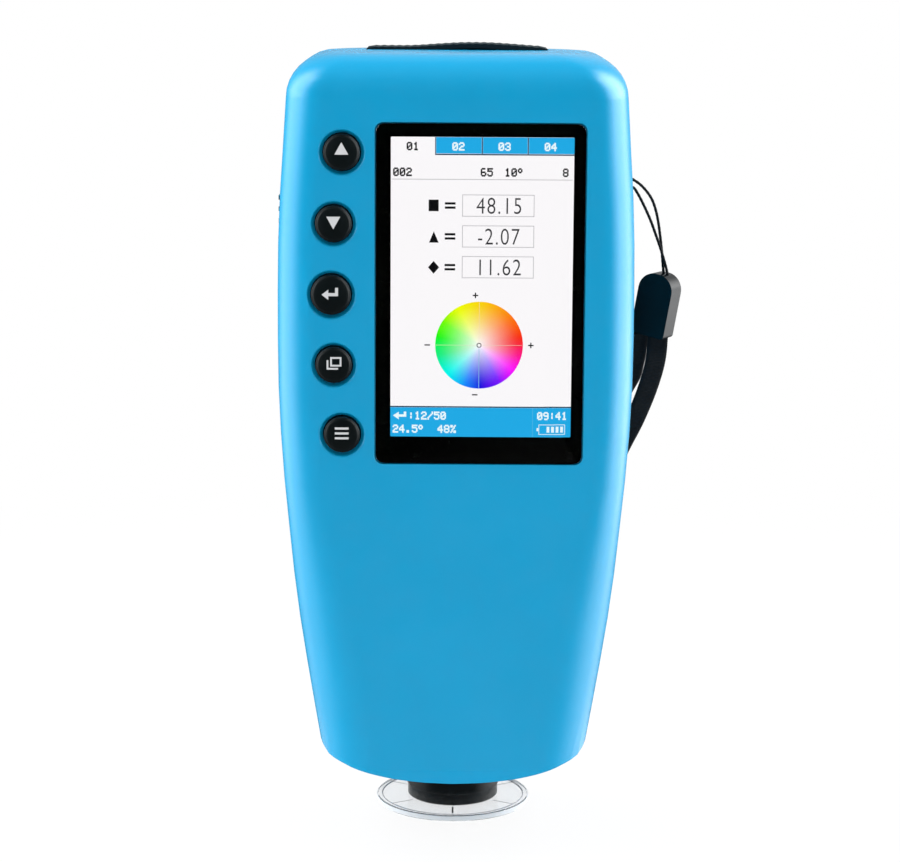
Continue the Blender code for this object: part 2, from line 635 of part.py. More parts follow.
def foot_cutter(name, inset):
    """Everything under the arched foot."""
    bm = bmesh.new()
    shares = [step / FOOT_ARCH_STEPS for step in range(FOOT_ARCH_STEPS + 1)]
    shares += [share for share, rise in FOOT_ARCH_SHARES if share > 1]
    arch = [(share * FOOT_HALF_WIDTH, foot_height(share * FOOT_HALF_WIDTH) + inset) for share in shares]
    outline = [(-x, z) for x, z in reversed(arch[1:])] + arch
    reach = arch[-1][0]
    outline += [(reach, -OVERRUN), (-reach, -OVERRUN)]
    face = bm.faces.new([bm.verts.new((x, -BODY_FRONT - OVERRUN, z)) for x, z in outline])
    extruded = bmesh.ops.extrude_face_region(bm, geom=[face])
    moved = [item for item in extruded["geom"] if isinstance(item, bmesh.types.BMVert)]
    bmesh.ops.translate(bm, vec=(0, BODY_FRONT + BODY_BACK + 2 * OVERRUN, 0), verts=moved)
    return add_object(name, mesh_from_bmesh(bm, name))


def half_space(name, front_y, back_y):
    return box(name, (-BODY_WIDTH, front_y, -OVERRUN * 2), (BODY_WIDTH, back_y, BODY_TOP + OVERRUN * 2))


def shell_blanks(colour):
    """The two housing shells before their holes and bosses."""
    outer = body_blank("outer_form", 0, EDGE_STEPS, ROLL_STEPS, SIDE_STEPS)
    cut(outer, foot_cutter("outer_foot", 0))
    apply_modifiers(outer)
    inner = body_blank("inner_form", BODY_WALL, INNER_EDGE_STEPS, INNER_ROLL_STEPS, INNER_SIDE_STEPS)
    cut(inner, foot_cutter("inner_foot", BODY_WALL))
    apply_modifiers(inner)
    reach = BODY_FRONT + BODY_BACK
    behind = half_space("behind_parting", PARTING_Y - FIT_GAP / 2, reach)
    ahead = half_space("ahead_of_parting", -reach, PARTING_Y + FIT_GAP / 2)
    shells = []
    for name, waste in (("front_shell", behind), ("rear_shell", ahead)):
        shell = add_object(name, outer.data.copy(), colour)
        cut(shell, inner, waste)
        apply_modifiers(shell)
        shells.append(shell)
    for name in ("outer_form", "outer_foot", "inner_form", "inner_foot", "behind_parting",
                 "ahead_of_parting"):
        bpy.data.objects.remove(bpy.data.objects[name], do_unlink=True)
    return shells


def trimmed_to_skin(name, pieces):
    """Inner bosses and ribs, trimmed where they would stand out of the housing's walls."""
    bosses = joined_cutter(name, pieces)
    skin = body_blank(name + "_skin", BODY_WALL / 2, EDGE_STEPS, ROLL_STEPS, SIDE_STEPS)
    boolean(bosses, skin, "INTERSECT")
    apply_modifiers(bosses)
    bpy.data.objects.remove(skin, do_unlink=True)
    return bosses


def key_places():
    """Name, centre and cap radius of each front key, on their arc."""
    places = []
    middle = (len(KEY_NAMES) - 1) / 2
    for index, name in enumerate(KEY_NAMES):
        offset = (middle - index) * KEY_PITCH
        x = KEY_ROW_X + KEY_ARC_RADIUS - sqrt(KEY_ARC_RADIUS ** 2 - offset ** 2)
        radius = ENTER_CAP_RADIUS if name == "button_enter" else KEY_CAP_RADIUS
        places.append((name, x, WINDOW_Z + offset, radius))
    return places


def front_posts():
    """Screw bosses and board posts inside the front shell."""
    posts = []
    for index, (x, z) in enumerate(CASE_SCREW_SPOTS):
        post = cylinder(f"front_boss_{index}", CASE_BOSS_RADIUS, -PARTING_Y + FIT_GAP / 2,
                        BODY_FRONT - BODY_WALL / 2, steps=14)
        face_front(post).location = (x, 0, z)
        posts.append(post)
    for x in BOARD_POST_XS:
        for z in BOARD_POST_ZS:
            post = cylinder(f"board_post_{x}_{z}", BOARD_POST_RADIUS, -BOARD_Y + FIT_GAP,
                            BODY_FRONT - BODY_WALL / 2, steps=12)
            face_front(post).location = (x, 0, z)
            posts.append(post)
    return trimmed_to_skin("front_bosses", posts)


def front_cuts():
    """Window pocket, display opening, key dishes and holes, nozzle hole and screw holes."""
    pieces = [
        rounded_panel("window_pocket", WINDOW_WIDTH + 2 * FIT_GAP, WINDOW_HEIGHT + 2 * FIT_GAP, WINDOW_CORNER,
                      -BODY_FRONT - OVERRUN, WINDOW_SEAT_Y + FIT_GAP, WINDOW_X, WINDOW_Z),
    ]
    for name, x, z, radius in key_places():
        dish = turned(name + "_dish", key_hole_outline(radius), steps=KEY_STEPS + 4)
        face_front(dish).location = (x, 0, z)
        pieces.append(dish)
    for index, (x, z) in enumerate(CASE_SCREW_SPOTS):
        hole = cylinder(f"front_screw_hole_{index}", CASE_SCREW_SHANK + FIT_GAP, -PARTING_Y - OVERRUN,
                        -CASE_SCREW_TIP_Y + OVERRUN, steps=10)
        face_front(hole).location = (x, 0, z)
        pieces.append(hole)
    for x in BOARD_POST_XS:
        for z in BOARD_POST_ZS:
            hole = cylinder(f"board_screw_hole_{x}_{z}", SMALL_SCREW_SHANK + FIT_GAP, -BOARD_Y - OVERRUN,
                            -BOARD_Y + BOARD_SCREW_DEPTH + FIT_GAP, steps=10)
            face_front(hole).location = (x, 0, z)
            pieces.append(hole)
    return joined_cutter("front_holes", pieces)


def key_hole_outline(radius):
    """Outline of a dished key hole, as heights in front of the part's middle plane."""
    hole = radius + FIT_GAP
    dish = radius + DISH_MARGIN
    face = BODY_FRONT
    soft_in, soft_down = DISH_SOFT_SHARES
    return ((0, face + OVERRUN), (dish, face + OVERRUN), (dish, face),
            (dish - DISH_TAPER * soft_in, face - DISH_DEPTH * soft_down),
            (dish - DISH_TAPER, face - DISH_DEPTH),
            (hole, face - DISH_DEPTH), (hole, face - BODY_WALL - OVERRUN), (0, face - BODY_WALL - OVERRUN))


def display_opening():
    width, height = LCD_WIDTH + 2 * LCD_BORDER, LCD_HEIGHT + 2 * LCD_BORDER
    low = (LCD_X - width / 2, -BODY_FRONT - OVERRUN, LCD_Z - height / 2)
    high = (LCD_X + width / 2, INNER_FRONT_Y + OVERRUN, LCD_Z + height / 2)
    return box("display_opening", low, high)


def nozzle_hole():
    top = foot_height(NOZZLE_RADIUS) + BODY_WALL + OVERRUN
    return cylinder("nozzle_hole", NOZZLE_RADIUS + FIT_GAP, BODY_FOOT - OVERRUN, top)


def make_front_shell(shell, nozzle_bore):
    join(shell, front_posts())
    cut(shell, front_cuts(), display_opening(), nozzle_bore)


def rear_additions():
    """Screw wells, battery tub, posts and rails inside the rear shell."""
    wall_back = BODY_BACK - BODY_WALL / 2
    pieces = []
    well = CASE_SCREW_HEAD + FIT_GAP + CASE_WELL_WALL
    for index, (x, z) in enumerate(CASE_SCREW_SPOTS):
        post = cylinder(f"screw_well_{index}", well, PARTING_Y + FIT_GAP / 2, wall_back, steps=16)
        face_back(post).location = (x, 0, z)
        pieces.append(post)
    pieces.append(box("battery_tub",
                      (-BAY_HALF_WIDTH - BAY_WALL, BAY_FLOOR_Y - BAY_WALL, BAY_BOTTOM - BAY_WALL),
                      (BAY_HALF_WIDTH + BAY_WALL, wall_back, BAY_TOP + BAY_WALL)))
    for side in (-1, 1):
        post = cylinder(f"bracket_boss_{side}", BRACKET_BOSS_RADIUS, BRACKET_BACK + FIT_GAP, wall_back,
                        steps=16)
        face_back(post).location = (side * BRACKET_SCREW_X, 0, BRACKET_Z - BRACKET_SCREW_DROP)
        pieces.append(post)
        post = cylinder(f"test_post_{side}", TEST_POST_RADIUS, TEST_BOARD_Y + FIT_GAP, wall_back, steps=12)
        face_back(post).location = (side * TEST_POST_X, 0, TEST_KEY_Z)
        pieces.append(post)
        rail_x = side * (SOCKET_WIDTH / 2 + SOCKET_POST_WIDTH * 3 / 2)
        half = SOCKET_POST_WIDTH / 2
        pieces.append(box(f"socket_rail_{side}",
                          (rail_x - half, SOCKET_BOARD_FRONT_Y, SOCKET_RAIL_Z - SOCKET_POST_WIDTH),
                          (rail_x + half, wall_back, SOCKET_RAIL_Z)))
        post_z = SWITCH_Z + side * SWITCH_POST_Z
        half = SWITCH_POST_RADIUS
        pieces.append(box(f"switch_post_{side}",
                          (-half_width_at(SWITCH_Z) + BODY_WALL / 2, SWITCH_Y - half, post_z - half),
                          (SWITCH_BOARD_X - FIT_GAP, SWITCH_Y + half, post_z + half)))
    pocket_x = half_width_at(POCKET_Z)
    half = POCKET_SIZE / 2 + POCKET_WALL
    pieces.append(box("pocket_block",
                      (pocket_x - POCKET_DEPTH - POCKET_WALL, POCKET_Y - half, POCKET_Z - half),
                      (pocket_x - BODY_WALL / 2, POCKET_Y + half, POCKET_Z + half)))
    return trimmed_to_skin("rear_additions", pieces)


def make_rear_shell(shell, nozzle_bore):
    join(shell, rear_additions())
    cut(shell, joined_cutter("rear_holes", rear_cuts()),
        joined_cutter("rear_second_holes", rear_second_cuts()), cover_recess(), nozzle_bore)


def rear_cuts():
    pieces = []
    for index, (x, z) in enumerate(CASE_SCREW_SPOTS):
        well = CASE_SCREW_HEAD + FIT_GAP
        hole = CASE_SCREW_SHANK + FIT_GAP
        outline = ((0, BODY_BACK + OVERRUN), (well, BODY_BACK + OVERRUN), (well, CASE_SCREW_SEAT_Y),
                   (hole, CASE_SCREW_SEAT_Y), (hole, PARTING_Y - OVERRUN), (0, PARTING_Y - OVERRUN))
        drill = turned(f"well_drill_{index}", outline, steps=14)
        face_back(drill).location = (x, 0, z)
        pieces.append(drill)
    pieces.append(box("bay_hollow", (-BAY_HALF_WIDTH, BAY_FLOOR_Y, BAY_BOTTOM),
                      (BAY_HALF_WIDTH, BODY_BACK + OVERRUN, BAY_TOP)))
    for side in (-1, 1):
        drill = cylinder(f"bracket_drill_{side}", SMALL_SCREW_SHANK + FIT_GAP, BRACKET_BACK - OVERRUN,
                         BRACKET_BACK + BOARD_SCREW_DEPTH + FIT_GAP, steps=10)
        face_back(drill).location = (side * BRACKET_SCREW_X, 0, BRACKET_Z - BRACKET_SCREW_DROP)
        pieces.append(drill)
    pieces.append(rounded_panel("test_key_hole", TEST_KEY_WIDTH + 2 * FIT_GAP, TEST_KEY_HEIGHT + 2 * FIT_GAP,
                                (TEST_KEY_HEIGHT + 2 * FIT_GAP) * TEST_KEY_END_SHARE, INNER_BACK_Y - FIT_GAP,
                                BODY_BACK + OVERRUN, 0, TEST_KEY_Z, steps=8))
    side_x = half_width_at(SWITCH_Z)
    half_run = SWITCH_KNOB_LENGTH / 2 + FIT_GAP
    half_knob = SWITCH_KNOB_WIDTH / 2 + FIT_GAP
    pieces.append(box("switch_pocket", (-side_x - OVERRUN, SWITCH_Y - half_knob, SWITCH_Z - half_run),
                      (-side_x + SWITCH_POCKET, SWITCH_Y + half_knob, SWITCH_Z + half_run + SWITCH_TRAVEL)))
    pocket_x = half_width_at(POCKET_Z)
    half = POCKET_SIZE / 2
    pieces.append(box("strap_pocket", (pocket_x - POCKET_DEPTH, POCKET_Y - half, POCKET_Z - half),
                      (pocket_x + OVERRUN, POCKET_Y + half, POCKET_Z + half)))
    half_width = SOCKET_WIDTH / 2 + EASY_GAP
    half_height = SOCKET_HEIGHT / 2 + EASY_GAP
    pieces.append(box("socket_hole", (-half_width, INNER_BACK_Y - OVERRUN, SOCKET_Z - half_height),
                      (half_width, BODY_BACK + OVERRUN, SOCKET_Z + half_height)))
    return pieces


def rear_second_cuts():
    """Cuts that reach on from the floors and walls of the first ones."""
    side_x = half_width_at(SWITCH_Z)
    half_neck = SWITCH_NECK / 2 + FIT_GAP
    slot_x = -side_x + BODY_WALL + OVERRUN / 2
    slot = box("switch_slot", (-side_x, SWITCH_Y - half_neck, SWITCH_Z - half_neck),
               (slot_x, SWITCH_Y + half_neck, SWITCH_Z + half_neck + SWITCH_TRAVEL))
    half = POCKET_SIZE / 2 + PIN_REACH + FIT_GAP
    pin = cylinder("pin_drill", PIN_RADIUS + FIT_GAP / 2, POCKET_Y - half, POCKET_Y + half, steps=12)
    face_back(pin).location = (PIN_X, 0, POCKET_Z)
    return [slot, pin]


def cover_path():
    """Stations down the back and over the top edge, each with its outward direction in the YZ plane."""
    centre_y = BODY_BACK - TOP_BACK_ROLL
    centre_z = BODY_TOP - TOP_CORNER_RADIUS
    stations = [((BODY_BACK, COVER_BOTTOM), (1.0, 0.0)), ((BODY_BACK, centre_z), (1.0, 0.0))]
    for step in range(1, COVER_ROLL_STEPS + 1):
        angle = step / COVER_ROLL_STEPS * pi / 2
        point = (centre_y + TOP_BACK_ROLL * cos(angle), centre_z + TOP_CORNER_RADIUS * sin(angle))
        normal = Vector((TOP_CORNER_RADIUS * cos(angle), TOP_BACK_ROLL * sin(angle))).normalized()
        stations.append((point, (normal.x, normal.y)))
    stations.append(((centre_y - COVER_HOOK, BODY_TOP), (0.0, 1.0)))
    return stations


def cover_layer(bm, stations, half_width, columns, stand):
    """Rows of points across the strip, each lifted off the housing by its stand."""
    rows = []
    for (y, z), (ny, nz) in stations:
        row = []
        for column in range(columns + 1):
            share = 2 * column / columns - 1
            height = stand(share, column)
            row.append(bm.verts.new((half_width * share, y + ny * height, z + nz * height)))
        rows.append(row)
    for first, second in zip(rows, rows[1:]):
        for column in range(columns):
            bm.faces.new((first[column], first[column + 1], second[column + 1], second[column]))
    return rows


def cover_grid(name, half_width, end_margin, top, under, material=None):
    """A strip that follows the back and wraps over the top; top and under hold columns and a stand."""
    bm = bmesh.new()
    stations = cover_path()
    start = stations[0]
    stations[0] = ((start[0][0], start[0][1] - end_margin), start[1])
    finish = stations[-1]
    stations[-1] = ((finish[0][0] - end_margin, finish[0][1]), finish[1])
    upper = cover_layer(bm, stations, half_width, *top)
    lower = cover_layer(bm, stations, half_width, *under)
    for index in range(len(stations) - 1):
        for column in (0, -1):
            bm.faces.new((upper[index][column], upper[index + 1][column], lower[index + 1][column],
                          lower[index][column]))
    for index in (0, -1):
        bm.faces.new(upper[index] + list(reversed(lower[index])))
    return add_object(name, mesh_from_bmesh(bm, name), material)


def cover_recess():
    return cover_grid("cover_recess", COVER_HALF_WIDTH + FIT_GAP, FIT_GAP,
                      (1, lambda share, column: COVER_CROWN_STAND + OVERRUN),
                      (1, lambda share, column: -COVER_RECESS))


def make_battery_cover(material):
    """Ribbed sliding cover over the battery bay, crowned across and hooked over the top edge."""
    columns = int(2 * COVER_HALF_WIDTH / COVER_RIB_PITCH) * 2

    def crown(share):
        return COVER_CROWN_STAND * smooth_value(COVER_CROWN_SHARES, share)

    def ribbed(share, column):
        return crown(share) - COVER_RIB_DEPTH * (column % 2)

    def underside(share, column):
        return max(crown(share) - COVER_RIB_DEPTH - COVER_THICK, FIT_GAP - COVER_RECESS)

    return cover_grid("battery_cover", COVER_HALF_WIDTH, 0, (columns, ribbed),
                      (COVER_UNDER_COLUMNS, underside), material)


def make_window(material):
    return rounded_panel("display_window", WINDOW_WIDTH, WINDOW_HEIGHT, WINDOW_CORNER,
                         -BODY_FRONT - WINDOW_STAND, WINDOW_SEAT_Y, WINDOW_X, WINDOW_Z, material)


def make_lcd(material):
    """Display module: a frame behind the wall and a raised glass in the opening."""
    half_width, half_height = LCD_WIDTH / 2, LCD_HEIGHT / 2
    front = INNER_FRONT_Y + FIT_GAP
    panel = box("lcd_panel", (LCD_X - half_width - LCD_FRAME_X, front, LCD_Z - half_height - LCD_FRAME_Z),
                (LCD_X + half_width + LCD_FRAME_X, front + LCD_THICK, LCD_Z + half_height + LCD_FRAME_Z),
                material)
    glass = box("lcd_glass", (LCD_X - half_width, front - LCD_LIFT, LCD_Z - half_height),
                (LCD_X + half_width, front + LCD_THICK / 2, LCD_Z + half_height))
    join(panel, glass)
    return panel


def make_key(name, x, z, radius, material):
    """A domed key with a faint edge ring, a flange behind the wall and a stem to the mat."""
    face = BODY_FRONT
    flange_top = -CAP_FLANGE_Y
    flange_foot = flange_top - KEY_FLANGE_THICK
    stem_foot = -MAT_FRONT_Y + MAT_DOME_HEIGHT + FIT_GAP + KEY_TRAVEL
    ring = radius - KEY_EDGE_HEIGHT
    outline = ((0, face + KEY_CROWN), (radius / 2, face + KEY_CROWN - (KEY_CROWN - KEY_EDGE_HEIGHT) / 5),
               (ring - KEY_EDGE_HEIGHT, face + KEY_EDGE_HEIGHT * 3 / 2), (ring, face + KEY_EDGE_HEIGHT),
               (radius, face), (radius, flange_top), (radius + KEY_FLANGE, flange_top),
               (radius + KEY_FLANGE, flange_foot), (KEY_STEM_RADIUS, flange_foot),
               (KEY_STEM_RADIUS, stem_foot), (0, stem_foot))
    key = turned(name, [(distance, height - face) for distance, height in outline], material, KEY_STEPS)
    face_front(key).location = (x, -face, z)
    return key


def make_mat(material):
    """Rubber keypad mat with a low dome under each key."""
    places = key_places()
    x_middle = sum(place[1] for place in places) / len(places)
    top = places[0][2] + MAT_END
    foot = places[-1][2] - MAT_END
    mat = box("keypad_mat", (x_middle - MAT_WIDTH / 2, MAT_FRONT_Y, foot),
              (x_middle + MAT_WIDTH / 2, MAT_FRONT_Y + MAT_THICK, top), material)
    domes = []
    for name, x, z, radius in places:
        crown = -MAT_FRONT_Y + MAT_DOME_HEIGHT
        sunk = -MAT_FRONT_Y - MAT_THICK / 2
        outline = ((0, crown), (MAT_DOME_RADIUS * 2 / 3, crown), (MAT_DOME_RADIUS, -MAT_FRONT_Y),
                   (MAT_DOME_RADIUS, sunk), (0, sunk))
        dome = turned(name + "_dome", outline, steps=12)
        face_front(dome).location = (x, 0, z)
        domes.append(dome)
    join(mat, joined_cutter("mat_domes", domes))
    return mat


def make_main_board(material):
    board = box("main_board", (BOARD_LEFT, BOARD_Y, BOARD_BOTTOM),
                (BOARD_RIGHT, BOARD_Y + BOARD_THICK, BOARD_TOP), material)
    drills = []
    for x in BOARD_POST_XS:
        for z in BOARD_POST_ZS:
            drill = cylinder(f"board_drill_{x}_{z}", SMALL_SCREW_SHANK + FIT_GAP,
                             -BOARD_Y - BOARD_THICK - OVERRUN, -BOARD_Y + OVERRUN, steps=10)
            face_front(drill).location = (x, 0, z)
            drills.append(drill)
    cut(board, joined_cutter("board_drills", drills))
    return board


def screw_outline(head_radius, head_height, shank_radius, length):
    """A screw with its seat at zero, head above and shank below."""
    return ((0, head_height), (head_radius * 3 / 4, head_height), (head_radius, head_height * 2 / 3),
            (head_radius, 0), (shank_radius, 0), (shank_radius, -length + shank_radius), (0, -length))


def make_screws(material):
    seat = CASE_SCREW_SEAT_Y + FIT_GAP
    outline = screw_outline(CASE_SCREW_HEAD, SCREW_HEAD_HEIGHT, CASE_SCREW_SHANK, seat - CASE_SCREW_TIP_Y)
    for index, (x, z) in enumerate(CASE_SCREW_SPOTS):
        screw = turned(f"case_screw_{index + 1}", outline, material, SCREW_STEPS)
        face_back(screw).location = (x, seat, z)
    small = (SMALL_SCREW_HEAD, SMALL_SCREW_HEAD_HEIGHT, SMALL_SCREW_SHANK)
    seat = BOARD_Y + BOARD_THICK + FIT_GAP
    outline = screw_outline(*small, BOARD_THICK + BOARD_SCREW_DEPTH)
    places = [(x, z) for x in BOARD_POST_XS for z in BOARD_POST_ZS]
    for index, (x, z) in enumerate(places):
        screw = turned(f"board_screw_{index + 1}", outline, material, SCREW_STEPS)
        face_back(screw).location = (x, seat, z)
    for index, side in enumerate((-1, 1)):
        seat = BRACKET_BACK - BRACKET_THICK - FIT_GAP
        screw = turned(f"bracket_screw_{index + 1}", screw_outline(*small, BRACKET_THICK + BOARD_SCREW_DEPTH),
                       material, SCREW_STEPS)
        face_front(screw).location = (side * BRACKET_SCREW_X, seat, BRACKET_Z - BRACKET_SCREW_DROP)
    seat = UPPER_FLANGE_Z + SPHERE_FLANGE_THICK + FIT_GAP
    outline = screw_outline(SMALL_SCREW_SHANK * 2, SMALL_SCREW_HEAD_HEIGHT, SMALL_SCREW_SHANK,
                            seat - BRACKET_Z + BRACKET_THICK + FIT_GAP)
    for index, (x, y) in enumerate(sphere_screw_spots()):
        screw = turned(f"sphere_screw_{index + 1}", outline, material, SCREW_STEPS)
        screw.location = (x, y, seat)


def sphere_screw_spots():
    return [(SPHERE_SCREW_CIRCLE * cos(angle), SPHERE_SCREW_CIRCLE * sin(angle))
            for angle in (pi / 4, pi * 3 / 4, pi * 5 / 4, pi * 7 / 4)]


def sphere_drills(name, low, high):
    drills = []
    for index, (x, y) in enumerate(sphere_screw_spots()):
        drill = cylinder(f"{name}_{index}", SMALL_SCREW_SHANK + FIT_GAP, low, high, steps=10)
        drill.location = (x, y, 0)
        drills.append(drill)
    return joined_cutter(name, drills)


def arc_points(radius, centre_z, start_angle, end_angle, steps):
    """Points of a meridian; angles are measured up from the equator."""
    points = []
    for step in range(steps + 1):
        angle = start_angle + (end_angle - start_angle) * step / steps
        points.append((radius * cos(angle), centre_z + radius * sin(angle)))
    return points


def make_sphere(material):
    """The measuring sphere in two flanged halves."""
    inner = SPHERE_RADIUS - SPHERE_WALL
    outline = [(SPHERE_FLANGE_RADIUS, SPHERE_Z), (SPHERE_FLANGE_RADIUS, LOWER_FLANGE_Z)]
    outline += arc_points(SPHERE_RADIUS, SPHERE_Z, -asin(SPHERE_FLANGE_THICK / SPHERE_RADIUS),
                          -acos(SPHERE_SEAT_RADIUS / SPHERE_RADIUS), SPHERE_ARC_STEPS)
    outline += [(SPHERE_SEAT_RADIUS, NOZZLE_TOP_Z + FIT_GAP), (SPHERE_PORT_RADIUS, NOZZLE_TOP_Z + FIT_GAP)]
    outline += arc_points(inner, SPHERE_Z, -acos(SPHERE_PORT_RADIUS / inner), 0, SPHERE_ARC_STEPS)
    lower = turned("sphere_lower", outline, material, SPHERE_STEPS)
    cut(lower, sphere_drills("lower_flange_drills", LOWER_FLANGE_Z - OVERRUN / 2, SPHERE_Z + OVERRUN))
    outline = arc_points(SPHERE_RADIUS, UPPER_FLANGE_Z, pi / 2, asin(SPHERE_FLANGE_THICK / SPHERE_RADIUS),
                         SPHERE_ARC_STEPS)
    outline[0] = (0, outline[0][1])
    outline += [(SPHERE_FLANGE_RADIUS, UPPER_FLANGE_Z + SPHERE_FLANGE_THICK),
                (SPHERE_FLANGE_RADIUS, UPPER_FLANGE_Z)]
    outline += arc_points(inner, UPPER_FLANGE_Z, 0, pi / 2, SPHERE_ARC_STEPS)
    outline[-1] = (0, outline[-1][1])
    upper = turned("sphere_upper", outline, material, SPHERE_STEPS)
    port = cylinder("sensor_port", SENSOR_TUBE_RADIUS + FIT_GAP, 0, SENSOR_TUBE_REACH, steps=24)
    lean_sensor(port)
    cut(upper, sphere_drills("upper_flange_drills", UPPER_FLANGE_Z - OVERRUN, UPPER_FLANGE_Z + OVERRUN
                             + SPHERE_FLANGE_THICK), port)


def lean_sensor(obj):
    """Tip a piece of the sensor about the sphere's middle."""
    obj.rotation_euler = (SENSOR_LEAN, 0, 0)
    obj.location = (0, 0, UPPER_FLANGE_Z)


def make_sensor(tube_material, board_material):
    foot = SPHERE_RADIUS - SPHERE_WALL / 2
    collar = SPHERE_RADIUS + FIT_GAP
    outline = ((SENSOR_TUBE_RADIUS, SENSOR_TUBE_REACH), (SENSOR_TUBE_RADIUS, collar + SENSOR_COLLAR_THICK),
               (SENSOR_COLLAR_RADIUS, collar + SENSOR_COLLAR_THICK), (SENSOR_COLLAR_RADIUS, collar),
               (SENSOR_TUBE_RADIUS, collar), (SENSOR_TUBE_RADIUS, foot), (SENSOR_TUBE_BORE, foot),
               (SENSOR_TUBE_BORE, SENSOR_TUBE_REACH))
    lean_sensor(turned("sensor_tube", outline, tube_material, 24))
    half = SENSOR_BOARD_SIZE / 2
    low = SENSOR_TUBE_REACH + FIT_GAP
    board = box("sensor_board", (-half, -half, -BOARD_THICK / 2), (half, half, BOARD_THICK / 2),
                board_material)
    lean_sensor(board)
    offset = Matrix.Rotation(SENSOR_LEAN, 3, "X") @ Vector((0, 0, low + BOARD_THICK / 2))
    board.location = Vector((0, 0, UPPER_FLANGE_Z)) + offset


def make_light_board(material):
    inner = SPHERE_RADIUS + LIGHT_BOARD_GAP
    half = LIGHT_SIZE / 2
    outer = inner + LIGHT_BOARD_WIDTH
    board_top = LIGHT_BOARD_Z + BOARD_THICK
    outline = ((outer, board_top), (outer, LIGHT_BOARD_Z), (inner, LIGHT_BOARD_Z), (inner, board_top))
    board = turned("light_board", outline, material, SPHERE_STEPS)
    lamps = []
    for index in range(LIGHT_COUNT):
        angle = 2 * pi * index / LIGHT_COUNT
        lamp = box(f"lamp_{index}", (-half, -half, 0), (half, half, LIGHT_SIZE))
        lamp.location = (LIGHT_CIRCLE * cos(angle), LIGHT_CIRCLE * sin(angle), board_top + LIGHT_SIZE / 4)
        lamp.rotation_euler = (0, 0, angle)
        lamps.append(lamp)
    join(board, joined_cutter("lamps", lamps))


def make_bracket(material):
    """Sheet bracket under the sphere's flange, with a tab down the back."""
    bracket = box("optics_bracket", (-BRACKET_HALF_WIDTH, BRACKET_FRONT, BRACKET_Z - BRACKET_THICK),
                  (BRACKET_HALF_WIDTH, BRACKET_BACK, BRACKET_Z), material)
    tab = box("bracket_tab",
              (-BRACKET_TAB_HALF_WIDTH, BRACKET_BACK - BRACKET_THICK, BRACKET_Z - BRACKET_TAB_DROP),
              (BRACKET_TAB_HALF_WIDTH, BRACKET_BACK, BRACKET_Z - BRACKET_THICK / 2))
    hole = cylinder("bracket_hole", SPHERE_RADIUS + EASY_GAP, BRACKET_Z - BRACKET_THICK - OVERRUN,
                    BRACKET_Z + OVERRUN, steps=SPHERE_STEPS)
    drills = []
    for side in (-1, 1):
        drill = cylinder(f"tab_drill_{side}", SMALL_SCREW_SHANK + FIT_GAP,
                         BRACKET_BACK - BRACKET_THICK - OVERRUN, BRACKET_BACK + OVERRUN, steps=10)
        face_back(drill).location = (side * BRACKET_SCREW_X, 0, BRACKET_Z - BRACKET_SCREW_DROP)
        drills.append(drill)
    join(bracket, tab)
    cut(bracket, hole, sphere_drills("bracket_flange_drills", BRACKET_Z - BRACKET_THICK - OVERRUN,
                                     BRACKET_Z + OVERRUN), joined_cutter("tab_drills", drills))


def make_nozzle(material, ring_material):
    """Measuring nozzle in two tiers, with a flange above the foot wall, and its aperture ring."""
    pocket = DISC_SPIGOT_RADIUS + FIT_GAP
    pocket_top = RING_Z + APERTURE_RING_THICK + FIT_GAP
    outline = ((NOZZLE_FLANGE_RADIUS, NOZZLE_TOP_Z), (NOZZLE_FLANGE_RADIUS, NOZZLE_FLANGE_Z),
               (NOZZLE_RADIUS, NOZZLE_FLANGE_Z), (NOZZLE_RADIUS, NOZZLE_STEP_Z),
               (NOZZLE_STEP_RADIUS, NOZZLE_STEP_Z - NOZZLE_LIP),
               (NOZZLE_STEP_RADIUS, NOZZLE_FOOT_Z + NOZZLE_LIP),
               (NOZZLE_STEP_RADIUS - NOZZLE_LIP, NOZZLE_FOOT_Z), (pocket, NOZZLE_FOOT_Z),
               (pocket, pocket_top), (NOZZLE_BORE_RADIUS, pocket_top), (NOZZLE_BORE_RADIUS, NOZZLE_TOP_Z))
    turned("nozzle", outline, material)
    outline = ((DISC_SPIGOT_RADIUS, RING_Z + APERTURE_RING_THICK), (DISC_SPIGOT_RADIUS, RING_Z),
               (APERTURE_RADIUS, RING_Z), (APERTURE_RADIUS, RING_Z + APERTURE_RING_THICK))
    turned("aperture_ring", outline, ring_material, 32)


def make_disc(material):
    """Clear locating disc with a raised rim and a spigot that pushes into the nozzle."""
    rim = DISC_RADIUS - DISC_RIM_WIDTH
    rim_top = DISC_THICK + DISC_RIM_HEIGHT
    spigot_top = DISC_THICK + DISC_SPIGOT_HEIGHT
    outline = ((DISC_SPIGOT_RADIUS, spigot_top), (DISC_SPIGOT_RADIUS, DISC_THICK), (rim, DISC_THICK),
               (rim, rim_top), (DISC_RADIUS - DISC_EDGE, rim_top), (DISC_RADIUS, rim_top - DISC_EDGE),
               (DISC_RADIUS, DISC_EDGE), (DISC_RADIUS - DISC_EDGE, 0), (DISC_BORE_RADIUS, 0),
               (DISC_BORE_RADIUS, spigot_top))
    turned("locating_disc", outline, material)


